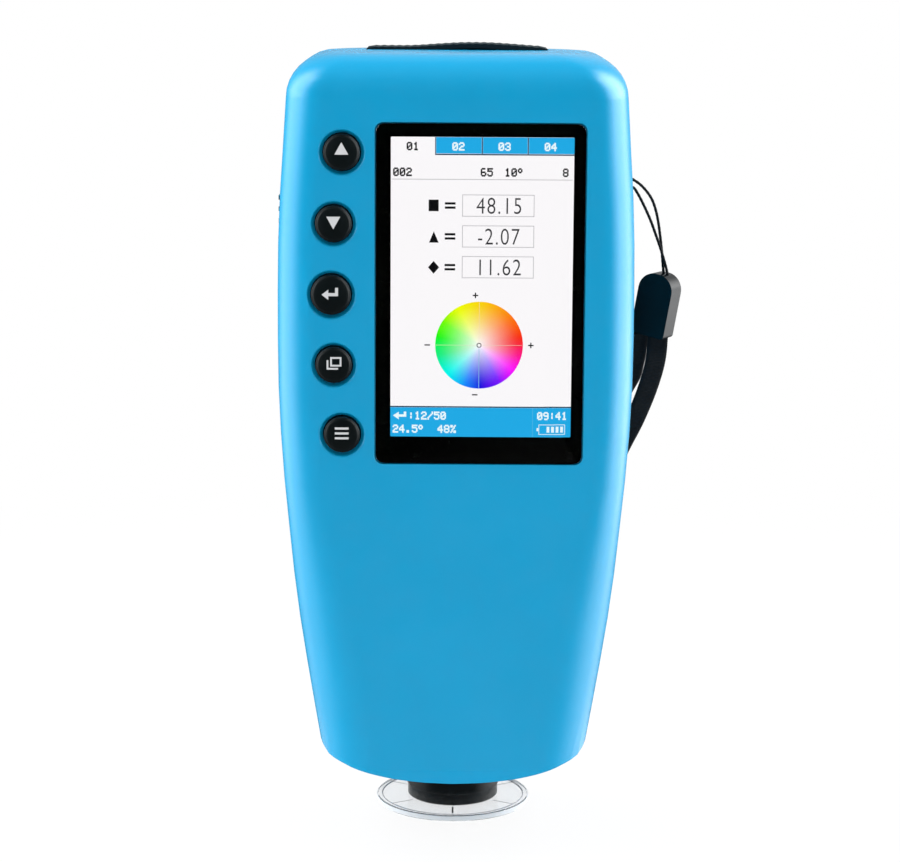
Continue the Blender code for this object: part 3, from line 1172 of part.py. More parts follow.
def make_battery(material, contact_material):
    low = (-BAY_HALF_WIDTH + EASY_GAP, BAY_FLOOR_Y + FIT_GAP, BAY_BOTTOM + FIT_GAP)
    high = (BAY_HALF_WIDTH - EASY_GAP, BAY_FLOOR_Y + FIT_GAP + BATTERY_THICK, BAY_TOP - CONTACT_SPACE)
    box("battery_pack", low, high, material, rounding=BAY_WALL, rounding_steps=3)
    middle_y = BAY_FLOOR_Y + FIT_GAP + BATTERY_THICK / 2
    half = CONTACT_SIZE / 2
    seat = BAY_TOP - FIT_GAP
    tip = BAY_TOP - CONTACT_SPACE + FIT_GAP
    for index, side in enumerate((-1, 1)):
        x = side * CONTACT_X
        contact = box(f"battery_contact_{index + 1}", (x - half, middle_y - half, seat - CONTACT_THICK),
                      (x + half, middle_y + half, seat), contact_material)
        nub = box(f"contact_nub_{index}", (x - CONTACT_BEND, middle_y - CONTACT_BEND, tip),
                  (x + CONTACT_BEND, middle_y + CONTACT_BEND, seat - CONTACT_THICK / 2))
        join(contact, nub)


def make_test_key(material, switch_material, board_material):
    """Long test key on the back, with its micro switch on a small board."""
    flange_back = INNER_BACK_Y - FIT_GAP
    flange_front = flange_back - TEST_KEY_FLANGE_THICK
    key = rounded_panel("test_button", TEST_KEY_WIDTH, TEST_KEY_HEIGHT, TEST_KEY_HEIGHT * TEST_KEY_END_SHARE,
                        -TEST_KEY_FLANGE_THICK / 2, BODY_BACK + TEST_KEY_STAND - flange_back, 0, TEST_KEY_Z,
                        material, steps=8)
    key.location.y = flange_back
    width = TEST_KEY_WIDTH + 2 * TEST_KEY_FLANGE
    height = TEST_KEY_HEIGHT + 2 * TEST_KEY_FLANGE
    flange = rounded_panel("test_key_flange", width, height, height * TEST_KEY_END_SHARE, flange_front,
                           flange_back, 0, TEST_KEY_Z, steps=8)
    join(key, flange)
    apply_modifiers(key)
    switch_back = flange_front - TEST_KEY_TRAVEL - FIT_GAP
    half = TEST_SWITCH_SIZE / 2
    box("test_switch", (-half, switch_back - TEST_SWITCH_THICK, TEST_KEY_Z - half),
        (half, switch_back, TEST_KEY_Z + half), switch_material)
    half_width, half_height = TEST_POST_X + TEST_POST_RADIUS, TEST_BOARD_HEIGHT / 2
    box("test_board", (-half_width, TEST_BOARD_Y - BOARD_THICK, TEST_KEY_Z - half_height),
        (half_width, TEST_BOARD_Y, TEST_KEY_Z + half_height), board_material)


def make_power_switch(knob_material, body_material, board_material):
    """Ribbed slide knob in the left side, the switch behind the wall and its board."""
    side_x = -half_width_at(SWITCH_Z)
    plate_back = side_x + SWITCH_POCKET - FIT_GAP
    half_length, half_width = SWITCH_KNOB_LENGTH / 2, SWITCH_KNOB_WIDTH / 2
    knob = box("power_switch_knob", (side_x - SWITCH_PROUD, SWITCH_Y - half_width, SWITCH_Z - half_length),
               (plate_back, SWITCH_Y + half_width, SWITCH_Z + half_length), knob_material)
    extras = []
    middle = (SWITCH_RIB_COUNT - 1) / 2
    rib_x = side_x - SWITCH_PROUD - SWITCH_RIB
    for index in range(SWITCH_RIB_COUNT):
        z = SWITCH_Z + (index - middle) * SWITCH_RIB_PITCH
        extras.append(box(f"knob_rib_{index}", (rib_x, SWITCH_Y - half_width, z - SWITCH_RIB_WIDTH / 2),
                          (side_x, SWITCH_Y + half_width, z + SWITCH_RIB_WIDTH / 2)))
    neck_end = SWITCH_BODY_X - FIT_GAP
    extras.append(box("knob_neck", (side_x, SWITCH_Y - SWITCH_NECK / 2, SWITCH_Z - SWITCH_NECK / 2),
                      (neck_end, SWITCH_Y + SWITCH_NECK / 2, SWITCH_Z + SWITCH_NECK / 2)))
    join(knob, joined_cutter("knob_extras", extras))
    half, half_run = SWITCH_BODY_WIDTH / 2, SWITCH_BODY_LENGTH / 2
    body_z = SWITCH_Z + SWITCH_TRAVEL / 2
    box("power_switch_body", (SWITCH_BODY_X, SWITCH_Y - half, body_z - half_run),
        (SWITCH_BODY_X + SWITCH_BODY_THICK, SWITCH_Y + half, body_z + half_run), body_material)
    half, half_run = SWITCH_BOARD_WIDTH / 2, SWITCH_BOARD_LENGTH / 2
    box("switch_board", (SWITCH_BOARD_X, SWITCH_Y - half, SWITCH_Z - half_run),
        (SWITCH_BOARD_X + BOARD_THICK, SWITCH_Y + half, SWITCH_Z + half_run), board_material)


def make_socket(shell_material, board_material):
    """Data socket: a metal sleeve with an open mouth, on a board that rests on two rails."""
    half_width, half_height = SOCKET_WIDTH / 2, SOCKET_HEIGHT / 2
    mouth = BODY_BACK - SOCKET_WALL
    socket = box("usb_socket", (-half_width, mouth - SOCKET_DEPTH, SOCKET_Z - half_height),
                 (half_width, mouth, SOCKET_Z + half_height), shell_material)
    hollow = box("socket_hollow", (-half_width + SOCKET_WALL, mouth - SOCKET_DEPTH + SOCKET_WALL,
                 SOCKET_Z - half_height + SOCKET_WALL), (half_width - SOCKET_WALL, mouth + OVERRUN,
                 SOCKET_Z + half_height - SOCKET_WALL))
    cut(socket, hollow)
    box("usb_board", (-SOCKET_BOARD_WIDTH / 2, SOCKET_BOARD_FRONT_Y, SOCKET_BOARD_Z),
        (SOCKET_BOARD_WIDTH / 2, SOCKET_BOARD_FRONT_Y + SOCKET_BOARD_DEPTH, SOCKET_BOARD_Z + BOARD_THICK),
        board_material)


def make_pin(material):
    half = POCKET_SIZE / 2 + PIN_REACH
    pin = cylinder("strap_pin", PIN_RADIUS, POCKET_Y - half, POCKET_Y + half, material, 16)
    face_back(pin).location = (PIN_X, 0, POCKET_Z)


def smooth_route(points, steps):
    """A smooth curve through hand-chosen points, with extra points between them."""
    route = [Vector(point) for point in points]
    result = []
    for index in range(len(route) - 1):
        before = route[max(index - 1, 0)]
        here, there = route[index], route[index + 1]
        after = route[min(index + 2, len(route) - 1)]
        for step in range(steps):
            part = step / steps
            result.append(((2 * here) + (there - before) * part
                           + (2 * before - 5 * here + 4 * there - after) * part ** 2
                           + (3 * here - before - 3 * there + after) * part ** 3) / 2)
    result.append(route[-1])
    return result


def make_cord(material):
    """Thin strap cord: from the block round the pin and back."""
    route = [(PIN_X + x * MM, POCKET_Y + y * MM, POCKET_Z + z * MM) for x, y, z in CORD_ROUTE_MM]
    points = smooth_route(route, CORD_STEPS_PER_SPAN)
    curve = bpy.data.curves.new("strap_cord", "CURVE")
    curve.dimensions = "3D"
    curve.bevel_depth = CORD_DIAMETER / 2
    curve.bevel_resolution = 2
    curve.use_fill_caps = True
    spline = curve.splines.new("POLY")
    spline.points.add(len(points) - 1)
    for spot, point in zip(spline.points, points):
        spot.co = (*point, 1.0)
    cord = bpy.data.objects.new("strap_cord", curve)
    curve.materials.append(material)
    PARTS.objects.link(cord)


def make_block(material):
    """Strap block: a slab with a round top, tipped with the strap and turned about the vertical."""
    bm = bmesh.new()
    rim = []
    for side, end, corner, quarter in ((1, 1, BLOCK_TOP_CORNER, 0), (-1, 1, BLOCK_TOP_CORNER, 1),
                                       (-1, -1, BLOCK_FOOT_CORNER, 2), (1, -1, BLOCK_FOOT_CORNER, 3)):
        for step in range(BLOCK_CORNER_STEPS + 1):
            angle = (quarter + step / BLOCK_CORNER_STEPS) * pi / 2
            x = side * (BLOCK_WIDTH / 2 - corner) + corner * cos(angle)
            z = end * (BLOCK_HEIGHT / 2 - corner) + corner * sin(angle)
            rim.append(bm.verts.new((x, 0, z)))
    face = bm.faces.new(rim)
    extruded = bmesh.ops.extrude_face_region(bm, geom=[face])
    moved = [item for item in extruded["geom"] if isinstance(item, bmesh.types.BMVert)]
    bmesh.ops.translate(bm, vec=(0, BLOCK_DEPTH, 0), verts=moved)
    rims = [edge for edge in bm.edges if edge.verts[0].co.y == edge.verts[1].co.y]
    bmesh.ops.bevel(bm, geom=rims, offset=BLOCK_RIM, segments=2, profile=ROUND_PROFILE, affect="EDGES")
    bmesh.ops.translate(bm, vec=(0, -BLOCK_DEPTH / 2, 0), verts=bm.verts)
    mesh = mesh_from_bmesh(bm, "strap_block")
    shade(mesh)
    block = add_object("strap_block", mesh, material)
    block.location = BLOCK_CENTRE
    block.rotation_euler = (0, BLOCK_LEAN, -BLOCK_TURN)


def make_webbing(material):
    """Flat webbing loop: an open ribbon along its route, thickened."""
    route = [(PIN_X + x * MM, POCKET_Y + y * MM, BLOCK_FOOT_Z * share)
             for x, y, share in WEBBING_ROUTE_SHARES]
    points = smooth_route(route, WEBBING_STEPS_PER_SPAN)
    bm = bmesh.new()
    rows = []
    for index, point in enumerate(points):
        ahead = points[min(index + 1, len(points) - 1)]
        behind = points[max(index - 1, 0)]
        along = (ahead - behind).normalized()
        across = Vector((1, 0, 0)) - along * along.x
        across = across.normalized() * WEBBING_WIDTH / 2
        rows.append((bm.verts.new(point - across), bm.verts.new(point + across)))
    for first, second in zip(rows, rows[1:]):
        bm.faces.new((first[0], first[1], second[1], second[0]))
    mesh = bpy.data.meshes.new("strap_webbing")
    bm.to_mesh(mesh)
    bm.free()
    webbing = add_object("strap_webbing", mesh, material)
    solidify = webbing.modifiers.new("thickness", "SOLIDIFY")
    solidify.thickness = WEBBING_THICK
    solidify.offset = 0


def main():
    global PARTS, CUTTERS
    clear_scene()
    PARTS = make_collection("portable_colorimeter")
    CUTTERS = make_collection("cutters")
    blue = make_material("blue_housing", (0.025, 0.40, 0.72), 0.45)
    black = make_material("black_plastic", (0.012, 0.012, 0.013), 0.4)
    gloss = make_material("black_gloss", (0.008, 0.008, 0.009), 0.1)
    clear = make_material("clear_acrylic", (0.85, 0.88, 0.9), 0.08)
    white = make_material("white_coating", (0.9, 0.9, 0.88), 0.8)
    steel = make_material("steel", (0.6, 0.6, 0.6), 0.3, 1.0)
    green = make_material("board_green", (0.02, 0.16, 0.07), 0.5)
    rubber = make_material("grey_rubber", (0.2, 0.2, 0.2), 0.8)
    cell = make_material("battery_sleeve", (0.1, 0.12, 0.15), 0.5)
    lcd = make_material("lcd_glass", (0.8, 0.85, 0.9), 0.2)
    webbing = make_material("black_webbing", (0.015, 0.015, 0.016), 0.85)

    front_shell, rear_shell = shell_blanks(blue)
    nozzle_bore = nozzle_hole()
    make_front_shell(front_shell, nozzle_bore)
    make_rear_shell(rear_shell, nozzle_bore)
    make_window(gloss)
    make_lcd(lcd)
    make_main_board(green)
    make_mat(rubber)
    for name, x, z, radius in key_places():
        make_key(name, x, z, radius, gloss)
    make_power_switch(black, steel, green)
    make_test_key(black, black, green)
    make_battery(cell, steel)
    make_battery_cover(black)
    make_socket(steel, green)
    make_sphere(white)
    make_light_board(green)
    make_sensor(black, green)
    make_bracket(steel)
    make_nozzle(gloss, black)
    make_disc(clear)
    make_screws(steel)
    make_pin(steel)
    make_cord(webbing)
    make_block(gloss)
    make_webbing(webbing)


main()
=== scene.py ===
"""Looks of the portable colorimeter: materials, fine pieces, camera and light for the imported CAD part."""

import math
import re

import bmesh
import bpy
from mathutils import Matrix, Vector


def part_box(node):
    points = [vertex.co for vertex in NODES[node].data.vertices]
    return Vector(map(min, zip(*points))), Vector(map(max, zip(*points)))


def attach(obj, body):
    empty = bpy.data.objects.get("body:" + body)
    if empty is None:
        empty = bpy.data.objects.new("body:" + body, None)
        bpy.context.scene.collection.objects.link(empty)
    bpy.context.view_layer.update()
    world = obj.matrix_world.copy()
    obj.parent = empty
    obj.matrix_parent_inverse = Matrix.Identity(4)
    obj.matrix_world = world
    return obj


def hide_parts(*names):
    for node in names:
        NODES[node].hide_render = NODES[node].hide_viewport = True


MM = 0.001

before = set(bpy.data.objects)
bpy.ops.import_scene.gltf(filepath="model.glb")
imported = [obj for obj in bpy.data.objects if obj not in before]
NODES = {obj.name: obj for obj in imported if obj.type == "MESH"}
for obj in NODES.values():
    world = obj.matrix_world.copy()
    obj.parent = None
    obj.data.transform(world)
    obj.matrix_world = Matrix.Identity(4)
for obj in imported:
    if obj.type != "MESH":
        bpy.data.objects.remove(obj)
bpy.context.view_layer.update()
HOUSING = "housing"
# Less than this counts as no distance, and vertices within the weld become one
NEAR = 0.01 * MM
WELD = 0.0005 * MM
CAD_WELD = 0.002 * MM

# Camera, from the lines of the window and the body in the photograph
CAMERA_DISTANCE = 0.7
CAMERA_MIDDLE = Vector((-0.00132, 0.0, 0.1023))
CAMERA_DROP = math.radians(10.23)
CAMERA_ROLL = math.radians(0.35)
CAMERA_LENS = 104.48
SENSOR_WIDTH = 36.0
CAMERA_CLIP = (0.01, 100.0)


def make_camera():
    """The photograph's camera, which looks down a little and is rolled a little."""
    data = bpy.data.cameras.new("camera")
    data.lens = CAMERA_LENS
    data.sensor_width = SENSOR_WIDTH
    data.clip_start, data.clip_end = CAMERA_CLIP
    camera = bpy.data.objects.new("camera", data)
    bpy.context.scene.collection.objects.link(camera)
    ahead = Vector((0, math.cos(CAMERA_DROP), -math.sin(CAMERA_DROP)))
    turn = Matrix.Rotation(math.pi / 2 - CAMERA_DROP, 3, "X") @ Matrix.Rotation(CAMERA_ROLL, 3, "Z")
    camera.location = CAMERA_MIDDLE - ahead * CAMERA_DISTANCE
    camera.rotation_euler = turn.to_euler()
    bpy.context.scene.camera = camera


# Strap routes, as in the CAD source
PIN = Vector((42.71, 10.0, 168.19)) * MM
CORD_DIAMETER = 0.8 * MM
CORD_ROUTE_MM = (
    (13.3, 2.3, -24.1), (13, 2.1, -21.4), (12.67, 1.9, -18.2), (12.23, 1.6, -14.9), (11.58, 1.2, -10.8),
    (10.85, 0.9, -7.6), (9.8, 0.6, -4.7), (8.38, 0.4, -2.5), (6.51, 0.2, -0.5), (4.61, 0.1, 0.8),
    (3, 0, 1.5), (0, 0, 1.6), (-1.13, 0, 1.13), (-1.6, 0, 0), (-1.13, 0, -1.13), (0, 0, -1.6),
    (3, 0, -1.3), (4.63, 0, -1.3), (5.82, 0, -2.9), (7.04, 0.1, -5.1), (8.32, 0.1, -7.7),
    (9.62, 0.2, -10.6), (10.87, 0.3, -13.9), (12.06, 0.5, -17.1), (13.09, 0.9, -20.2), (13.89, 1.5, -22.8),
    (14.3, 1.9, -24.4))
BLOCK_CENTRE = PIN + Vector((11.76, 3.0, -32.93)) * MM
BLOCK_WIDTH = 10.0 * MM
BLOCK_DEPTH = 6.0 * MM
BLOCK_HEIGHT = 17.2 * MM
BLOCK_LEAN = math.radians(10.5)
BLOCK_TURN = math.radians(30)
BLOCK_TOP_CORNER = 4.6 * MM
BLOCK_FOOT_CORNER = 1.0 * MM
BLOCK_RIM = 0.5 * MM
BLOCK_FOOT_Z = BLOCK_CENTRE.z - BLOCK_HEIGHT / 2 * math.cos(BLOCK_LEAN)
WEBBING_WIDTH = 5.6 * MM
WEBBING_THICK = 0.9 * MM
WEBBING_ROUTE_SHARES = (
    (12.11, 2.6, 0.9895), (11.99, 3.6, 0.9622), (11.64, 6.5, 0.9283), (10.74, 10, 0.8889),
    (9.46, 14, 0.8462), (7.3, 19, 0.7905), (2.83, 23, 0.7071), (-0.77, 27.5, 0.6078), (-4.47, 31, 0.4966),
    (-7.97, 34, 0.3814), (-11.17, 36.3, 0.2662), (-13.67, 38.3, 0.1549), (-15.07, 40.2, 0.0715),
    (-15.77, 42.8, 0.0262), (-16.27, 46.8, 0.0127), (-16.87, 50.7, 0.0302), (-17.37, 52.2, 0.0755),
    (-17.07, 51.2, 0.1549), (-15.77, 48.5, 0.2662), (-13.37, 45, 0.3853), (-10.17, 40.8, 0.5045),
    (-6.47, 36.6, 0.6157), (-2.77, 31.8, 0.715), (1.03, 26.2, 0.8024), (4.1, 21, 0.855),
    (5.8, 15.5, 0.892), (6.34, 11, 0.9245), (6.69, 7, 0.958), (6.81, 4.8, 0.988))
# How far the strap's ends run on inside the block
CORD_TUCK = 1.0 * MM
WEBBING_TUCK = 2.2 * MM


def linear(red, green, blue):
    """A colour given as 0-255 screen values, as scene-linear values."""
    result = []
    for value in (red, green, blue):
        share = value / 255
        result.append(share / 12.92 if share <= 0.04045 else ((share + 0.055) / 1.055) ** 2.4)
    return tuple(result) + (1.0,)


# Node trees

class Graph:
    """Short ways to build a node tree. A value is a plain number, a colour or another node's output."""

    def __init__(self, tree):
        self.tree = tree

    def feed(self, socket, value):
        if isinstance(value, bpy.types.NodeSocket):
            self.tree.links.new(value, socket)
        else:
            socket.default_value = value

    def node(self, kind, inputs=None, **settings):
        """Add a node with its settings and its inputs, which are named or numbered."""
        made = self.tree.nodes.new(kind)
        for name, value in settings.items():
            setattr(made, name, value)
        for socket, value in (inputs or {}).items():
            self.feed(made.inputs[socket], value)
        return made

    def math(self, operation, *values):
        return self.node("ShaderNodeMath", dict(enumerate(values)), operation=operation).outputs["Value"]

    def vector_math(self, operation, *vectors):
        return self.node("ShaderNodeVectorMath", dict(enumerate(vectors)), operation=operation).outputs

    def product(self, first, *others):
        for other in others:
            first = self.math("MULTIPLY", first, other)
        return first

    def largest(self, first, *others):
        for other in others:
            first = self.math("MAXIMUM", first, other)
        return first

    def mixed(self, share, first, second):
        """first at a share of 0 and second at 1."""
        rest = self.math("SUBTRACT", 1.0, share)
        return self.math("ADD", self.product(first, rest), self.product(second, share))

    def ranged(self, value, start, end, low, high, interpolation="LINEAR"):
        inputs = {"Value": value, "From Min": start, "From Max": end, "To Min": low, "To Max": high}
        return self.node("ShaderNodeMapRange", inputs, interpolation_type=interpolation).outputs["Result"]

    def eased(self, value, start, end, low, high):
        """A smooth step from low to high as a value goes from start to end."""
        return self.ranged(value, start, end, low, high, "SMOOTHSTEP")

    def apart(self, vector):
        return self.node("ShaderNodeSeparateXYZ", {"Vector": vector}).outputs

    def unit(self, vector):
        """The parts of a direction made 1 long."""
        return self.apart(self.vector_math("NORMALIZE", vector)["Vector"])


# Where most of a noise lies
NOISE_REACH = (0.3, 0.7)
EDGE_SAMPLES = 4


class Finish(Graph):
    """A material under construction, with its shader and the coordinates of its object."""

    def __init__(self, name, colour, roughness, **sockets):
        self.material = bpy.data.materials.new(name)
        self.material.use_nodes = True
        self.material.diffuse_color = colour
        super().__init__(self.material.node_tree)
        self.shader = self.tree.nodes["Principled BSDF"]
        self.set("Base Color", colour)
        self.set("Roughness", roughness)
        for socket, value in sockets.items():
            self.set(socket.replace("_", " "), value)
        self.coords = self.node("ShaderNodeTexCoord").outputs["Object"]

    def set(self, socket, value):
        self.feed(self.shader.inputs[socket], value)

    def stretched(self, scale):
        return self.node("ShaderNodeMapping", {"Scale": scale, "Vector": self.coords}).outputs["Vector"]

    def noise(self, scale, detail=2.0, vector=None):
        inputs = {"Scale": scale, "Detail": detail, "Vector": vector or self.coords}
        return self.node("ShaderNodeTexNoise", inputs).outputs["Fac"]

    def cells(self, scale):
        """Distance to the edges of uneven cells."""
        inputs = {"Scale": scale, "Vector": self.coords}
        return self.node("ShaderNodeTexVoronoi", inputs, feature="DISTANCE_TO_EDGE").outputs["Distance"]

    def wave(self, scale, direction):
        inputs = {"Scale": scale, "Vector": self.coords}
        return self.node("ShaderNodeTexWave", inputs, bands_direction=direction).outputs["Fac"]

    def spread(self, noise, low, high):
        return self.ranged(noise, *NOISE_REACH, low, high)

    def sheen(self, noise, roughness, shares):
        """Vary the roughness between two shares of it."""
        self.set("Roughness", self.spread(noise, roughness * shares[0], roughness * shares[1]))

    def ramp(self, value, stops):
        node = self.node("ShaderNodeValToRGB", {"Fac": value})
        while len(node.color_ramp.elements) < len(stops):
            node.color_ramp.elements.new(0.5)
        for element, (place, colour) in zip(node.color_ramp.elements, stops):
            element.position = place
            element.color = colour
        return node.outputs["Color"]

    def bump(self, height, strength, depth, edge_radius=None):
        """Raise the surface by a height, and round its edges in the shading."""
        inputs = {"Strength": strength, "Distance": depth, "Height": height}
        if edge_radius:
            softened = self.node("ShaderNodeBevel", {"Radius": edge_radius}, samples=EDGE_SAMPLES)
            inputs["Normal"] = softened.outputs["Normal"]
        self.set("Normal", self.node("ShaderNodeBump", inputs).outputs["Normal"])


def shaded(colour, share):
    return tuple(channel * share for channel in colour[:3]) + (1.0,)


# Scales of the noises in a finish: broad clouds of tone, uneven sheen, streaks, waves of a clear sheet
CLOUDS = 38.0
SHEEN = 210.0
STREAKS = 900.0
HAZE = 90.0
RIPPLES = 130.0
# Lowest and highest roughness as shares of the plain one
MOULDED_SHEEN = (0.9, 1.12)
METAL_SHEEN = (0.75, 1.3)
CLEAR_SHEEN = (0.6, 1.6)
# Strength and depth of a rough surface
STREAK_BUMP = (0.12, 0.01 * MM)
RIPPLE_BUMP = (0.03, 0.02 * MM)
# The darker streaks in a metal: their part of the noise and their shade
STREAK_REACH = (0.25, 0.75)
STREAK_SHADE = 0.86


def moulded(name, colour, roughness, grain=7000.0, grain_depth=0.012 * MM, strength=0.25, contrast=0.05,
            edge_radius=None, **sockets):
    """Moulded plastic: slight tone changes, uneven sheen and the fine grain of a mould."""
    finish = Finish(name, colour, roughness, **sockets)
    tones = (shaded(colour, 1 - contrast), shaded(colour, 1 + contrast))
    finish.set("Base Color", finish.ramp(finish.noise(CLOUDS, detail=3.0), list(zip(NOISE_REACH, tones))))
    finish.sheen(finish.noise(SHEEN, detail=4.0), roughness, MOULDED_SHEEN)
    finish.bump(finish.noise(grain), strength, grain_depth, edge_radius)
    return finish.material


def metal(name, colour, roughness, brushed=(1, 1, 1)):
    """Metal with fine streaks in its tone, sheen and surface."""
    finish = Finish(name, colour, roughness, Metallic=1.0)
    streaks = finish.noise(STREAKS, detail=4.0, vector=finish.stretched(brushed))
    tones = (shaded(colour, STREAK_SHADE), colour)
    finish.set("Base Color", finish.ramp(streaks, list(zip(STREAK_REACH, tones))))
    finish.sheen(streaks, roughness, METAL_SHEEN)
    finish.bump(streaks, *STREAK_BUMP)
    return finish.material


MASK_GREEN = (0.008, 0.10, 0.04, 1.0)
TRACK_GREEN = (0.03, 0.26, 0.10, 1.0)
BOARD_CELLS = 260.0
BOARD_SHEEN = 500.0
BOARD_ROUGHNESS = (0.28, 0.45)
# How far a track reaches from the edge of a cell, and where the plain mask starts
TRACK_EDGE = 0.06
MASK_EDGE = 0.075
TRACK_BUMP = (0.2, 0.03 * MM)


def circuit_board(name):
    """Green solder mask with paler tracks under it."""
    finish = Finish(name, MASK_GREEN, roughness=0.35)
    tracks = finish.cells(BOARD_CELLS)
    colour = finish.ramp(tracks, ((0.0, TRACK_GREEN), (TRACK_EDGE, TRACK_GREEN), (MASK_EDGE, MASK_GREEN)))
    finish.set("Base Color", colour)
    finish.set("Roughness", finish.spread(finish.noise(BOARD_SHEEN), *BOARD_ROUGHNESS))
    finish.bump(tracks, *TRACK_BUMP)
    return finish.material


SCREEN_STRENGTH = 1.06
SCREEN_SURFACE = {"roughness": 0.35, "Specular_IOR_Level": 0.2}
SCREEN_GRID = 5200.0
# Shades of a screen colour: of every other square in the grid, and of the surface when it isn't lit
GRID_SHADE = 0.965
UNLIT_SHADE = 0.02


def lit(name, colour, strength=SCREEN_STRENGTH):
    """A colour of the lit display, with the faint grid of its pixels."""
    finish = Finish(name, shaded(colour, UNLIT_SHADE), Emission_Strength=strength, **SCREEN_SURFACE)
    inputs = {"Color1": colour, "Color2": shaded(colour, GRID_SHADE), "Scale": SCREEN_GRID,
              "Vector": finish.coords}
    finish.set("Emission Color", finish.node("ShaderNodeTexChecker", inputs).outputs["Color"])
    return finish.material


def clear_plastic(name, tint, roughness, clearness=1.0, ior=1.49):
    """Clear plastic with a slightly uneven, rippled surface."""
    finish = Finish(name, tint, roughness, Transmission_Weight=clearness, IOR=ior)
    finish.sheen(finish.noise(HAZE, detail=3.0), roughness, CLEAR_SHEEN)
    finish.bump(finish.noise(RIPPLES, detail=1.0), *RIPPLE_BUMP)
    return finish.material


# Hues round the wheel as shares of a turn, and how fast its middle turns white
WHEEL_COLOURS = (
    (0.0, (250, 32, 60)), (0.035, (250, 50, 10)), (0.10, (255, 110, 10)), (0.18, (255, 170, 15)),
    (0.25, (252, 215, 8)), (0.33, (240, 255, 0)), (0.41, (110, 255, 0)), (0.47, (20, 250, 20)),
    (0.54, (20, 240, 130)), (0.62, (0, 250, 240)), (0.70, (20, 130, 255)), (0.755, (20, 10, 225)),
    (0.83, (120, 20, 255)), (0.90, (255, 20, 255)), (0.96, (255, 20, 140)), (1.0, (250, 32, 60)))
WHEEL_WHITENING = 2.1
NEAR_BLACK = (0.005, 0.005, 0.005, 1.0)
WHITE = (1.0, 1.0, 1.0, 1.0)


def wheel_material(name, centre_x, centre_z, radius):
    """Hue by angle and whiteness by distance from the middle, from the object's own coordinates."""
    finish = Finish(name, NEAR_BLACK, Emission_Strength=SCREEN_STRENGTH, **SCREEN_SURFACE)
    place = finish.apart(finish.coords)
    dx = finish.math("SUBTRACT", place["X"], centre_x)
    dz = finish.math("SUBTRACT", place["Z"], centre_z)
    turn = finish.math("FRACT", finish.math("DIVIDE", finish.math("ARCTAN2", dz, dx), 2 * math.pi))
    square = finish.math("ADD", finish.product(dx, dx), finish.product(dz, dz))
    away = finish.math("DIVIDE", finish.math("SQRT", square), radius)
    inward = finish.math("SUBTRACT", 1.0, finish.math("MINIMUM", away, 1.0))
    whiteness = finish.math("POWER", inward, WHEEL_WHITENING)
    hues = finish.ramp(turn, [(share, linear(*colour)) for share, colour in WHEEL_COLOURS])
    mix = finish.node("ShaderNodeMix", {"Factor": whiteness}, data_type="RGBA")
    for socket, colour in zip([socket for socket in mix.inputs if socket.type == "RGBA"], (hues, WHITE)):
        finish.feed(socket, colour)
    finish.set("Emission Color", [socket for socket in mix.outputs if socket.type == "RGBA"][0])
    return finish.material


# The weave's dark and pale threads: their places in its wave and their shades
WEAVE_REACH = (0.1, 0.9)
WEAVE_SHADES = (0.6, 1.6)
WEAVE_BUMP = (0.4, 0.05 * MM)
THREAD_SHEEN = 1500.0
THREAD_ROUGHNESS = (0.6, 0.85)


def woven(name, colour, scale):
    """Woven black polyester: crossing threads with a slight sheen."""
    finish = Finish(name, colour, roughness=0.75, Specular_IOR_Level=0.1)
    weave = finish.product(finish.wave(scale, "Z"), finish.wave(scale, "X"))
    tones = [shaded(colour, share) for share in WEAVE_SHADES]
    finish.set("Base Color", finish.ramp(weave, list(zip(WEAVE_REACH, tones))))
    finish.set("Roughness", finish.spread(finish.noise(THREAD_SHEEN), *THREAD_ROUGHNESS))
    finish.bump(weave, *WEAVE_BUMP)
    return finish.material


HOUSING_BLUE = (0.0005, 0.318, 0.59, 1.0)
HOUSING_EDGE = 0.4 * MM


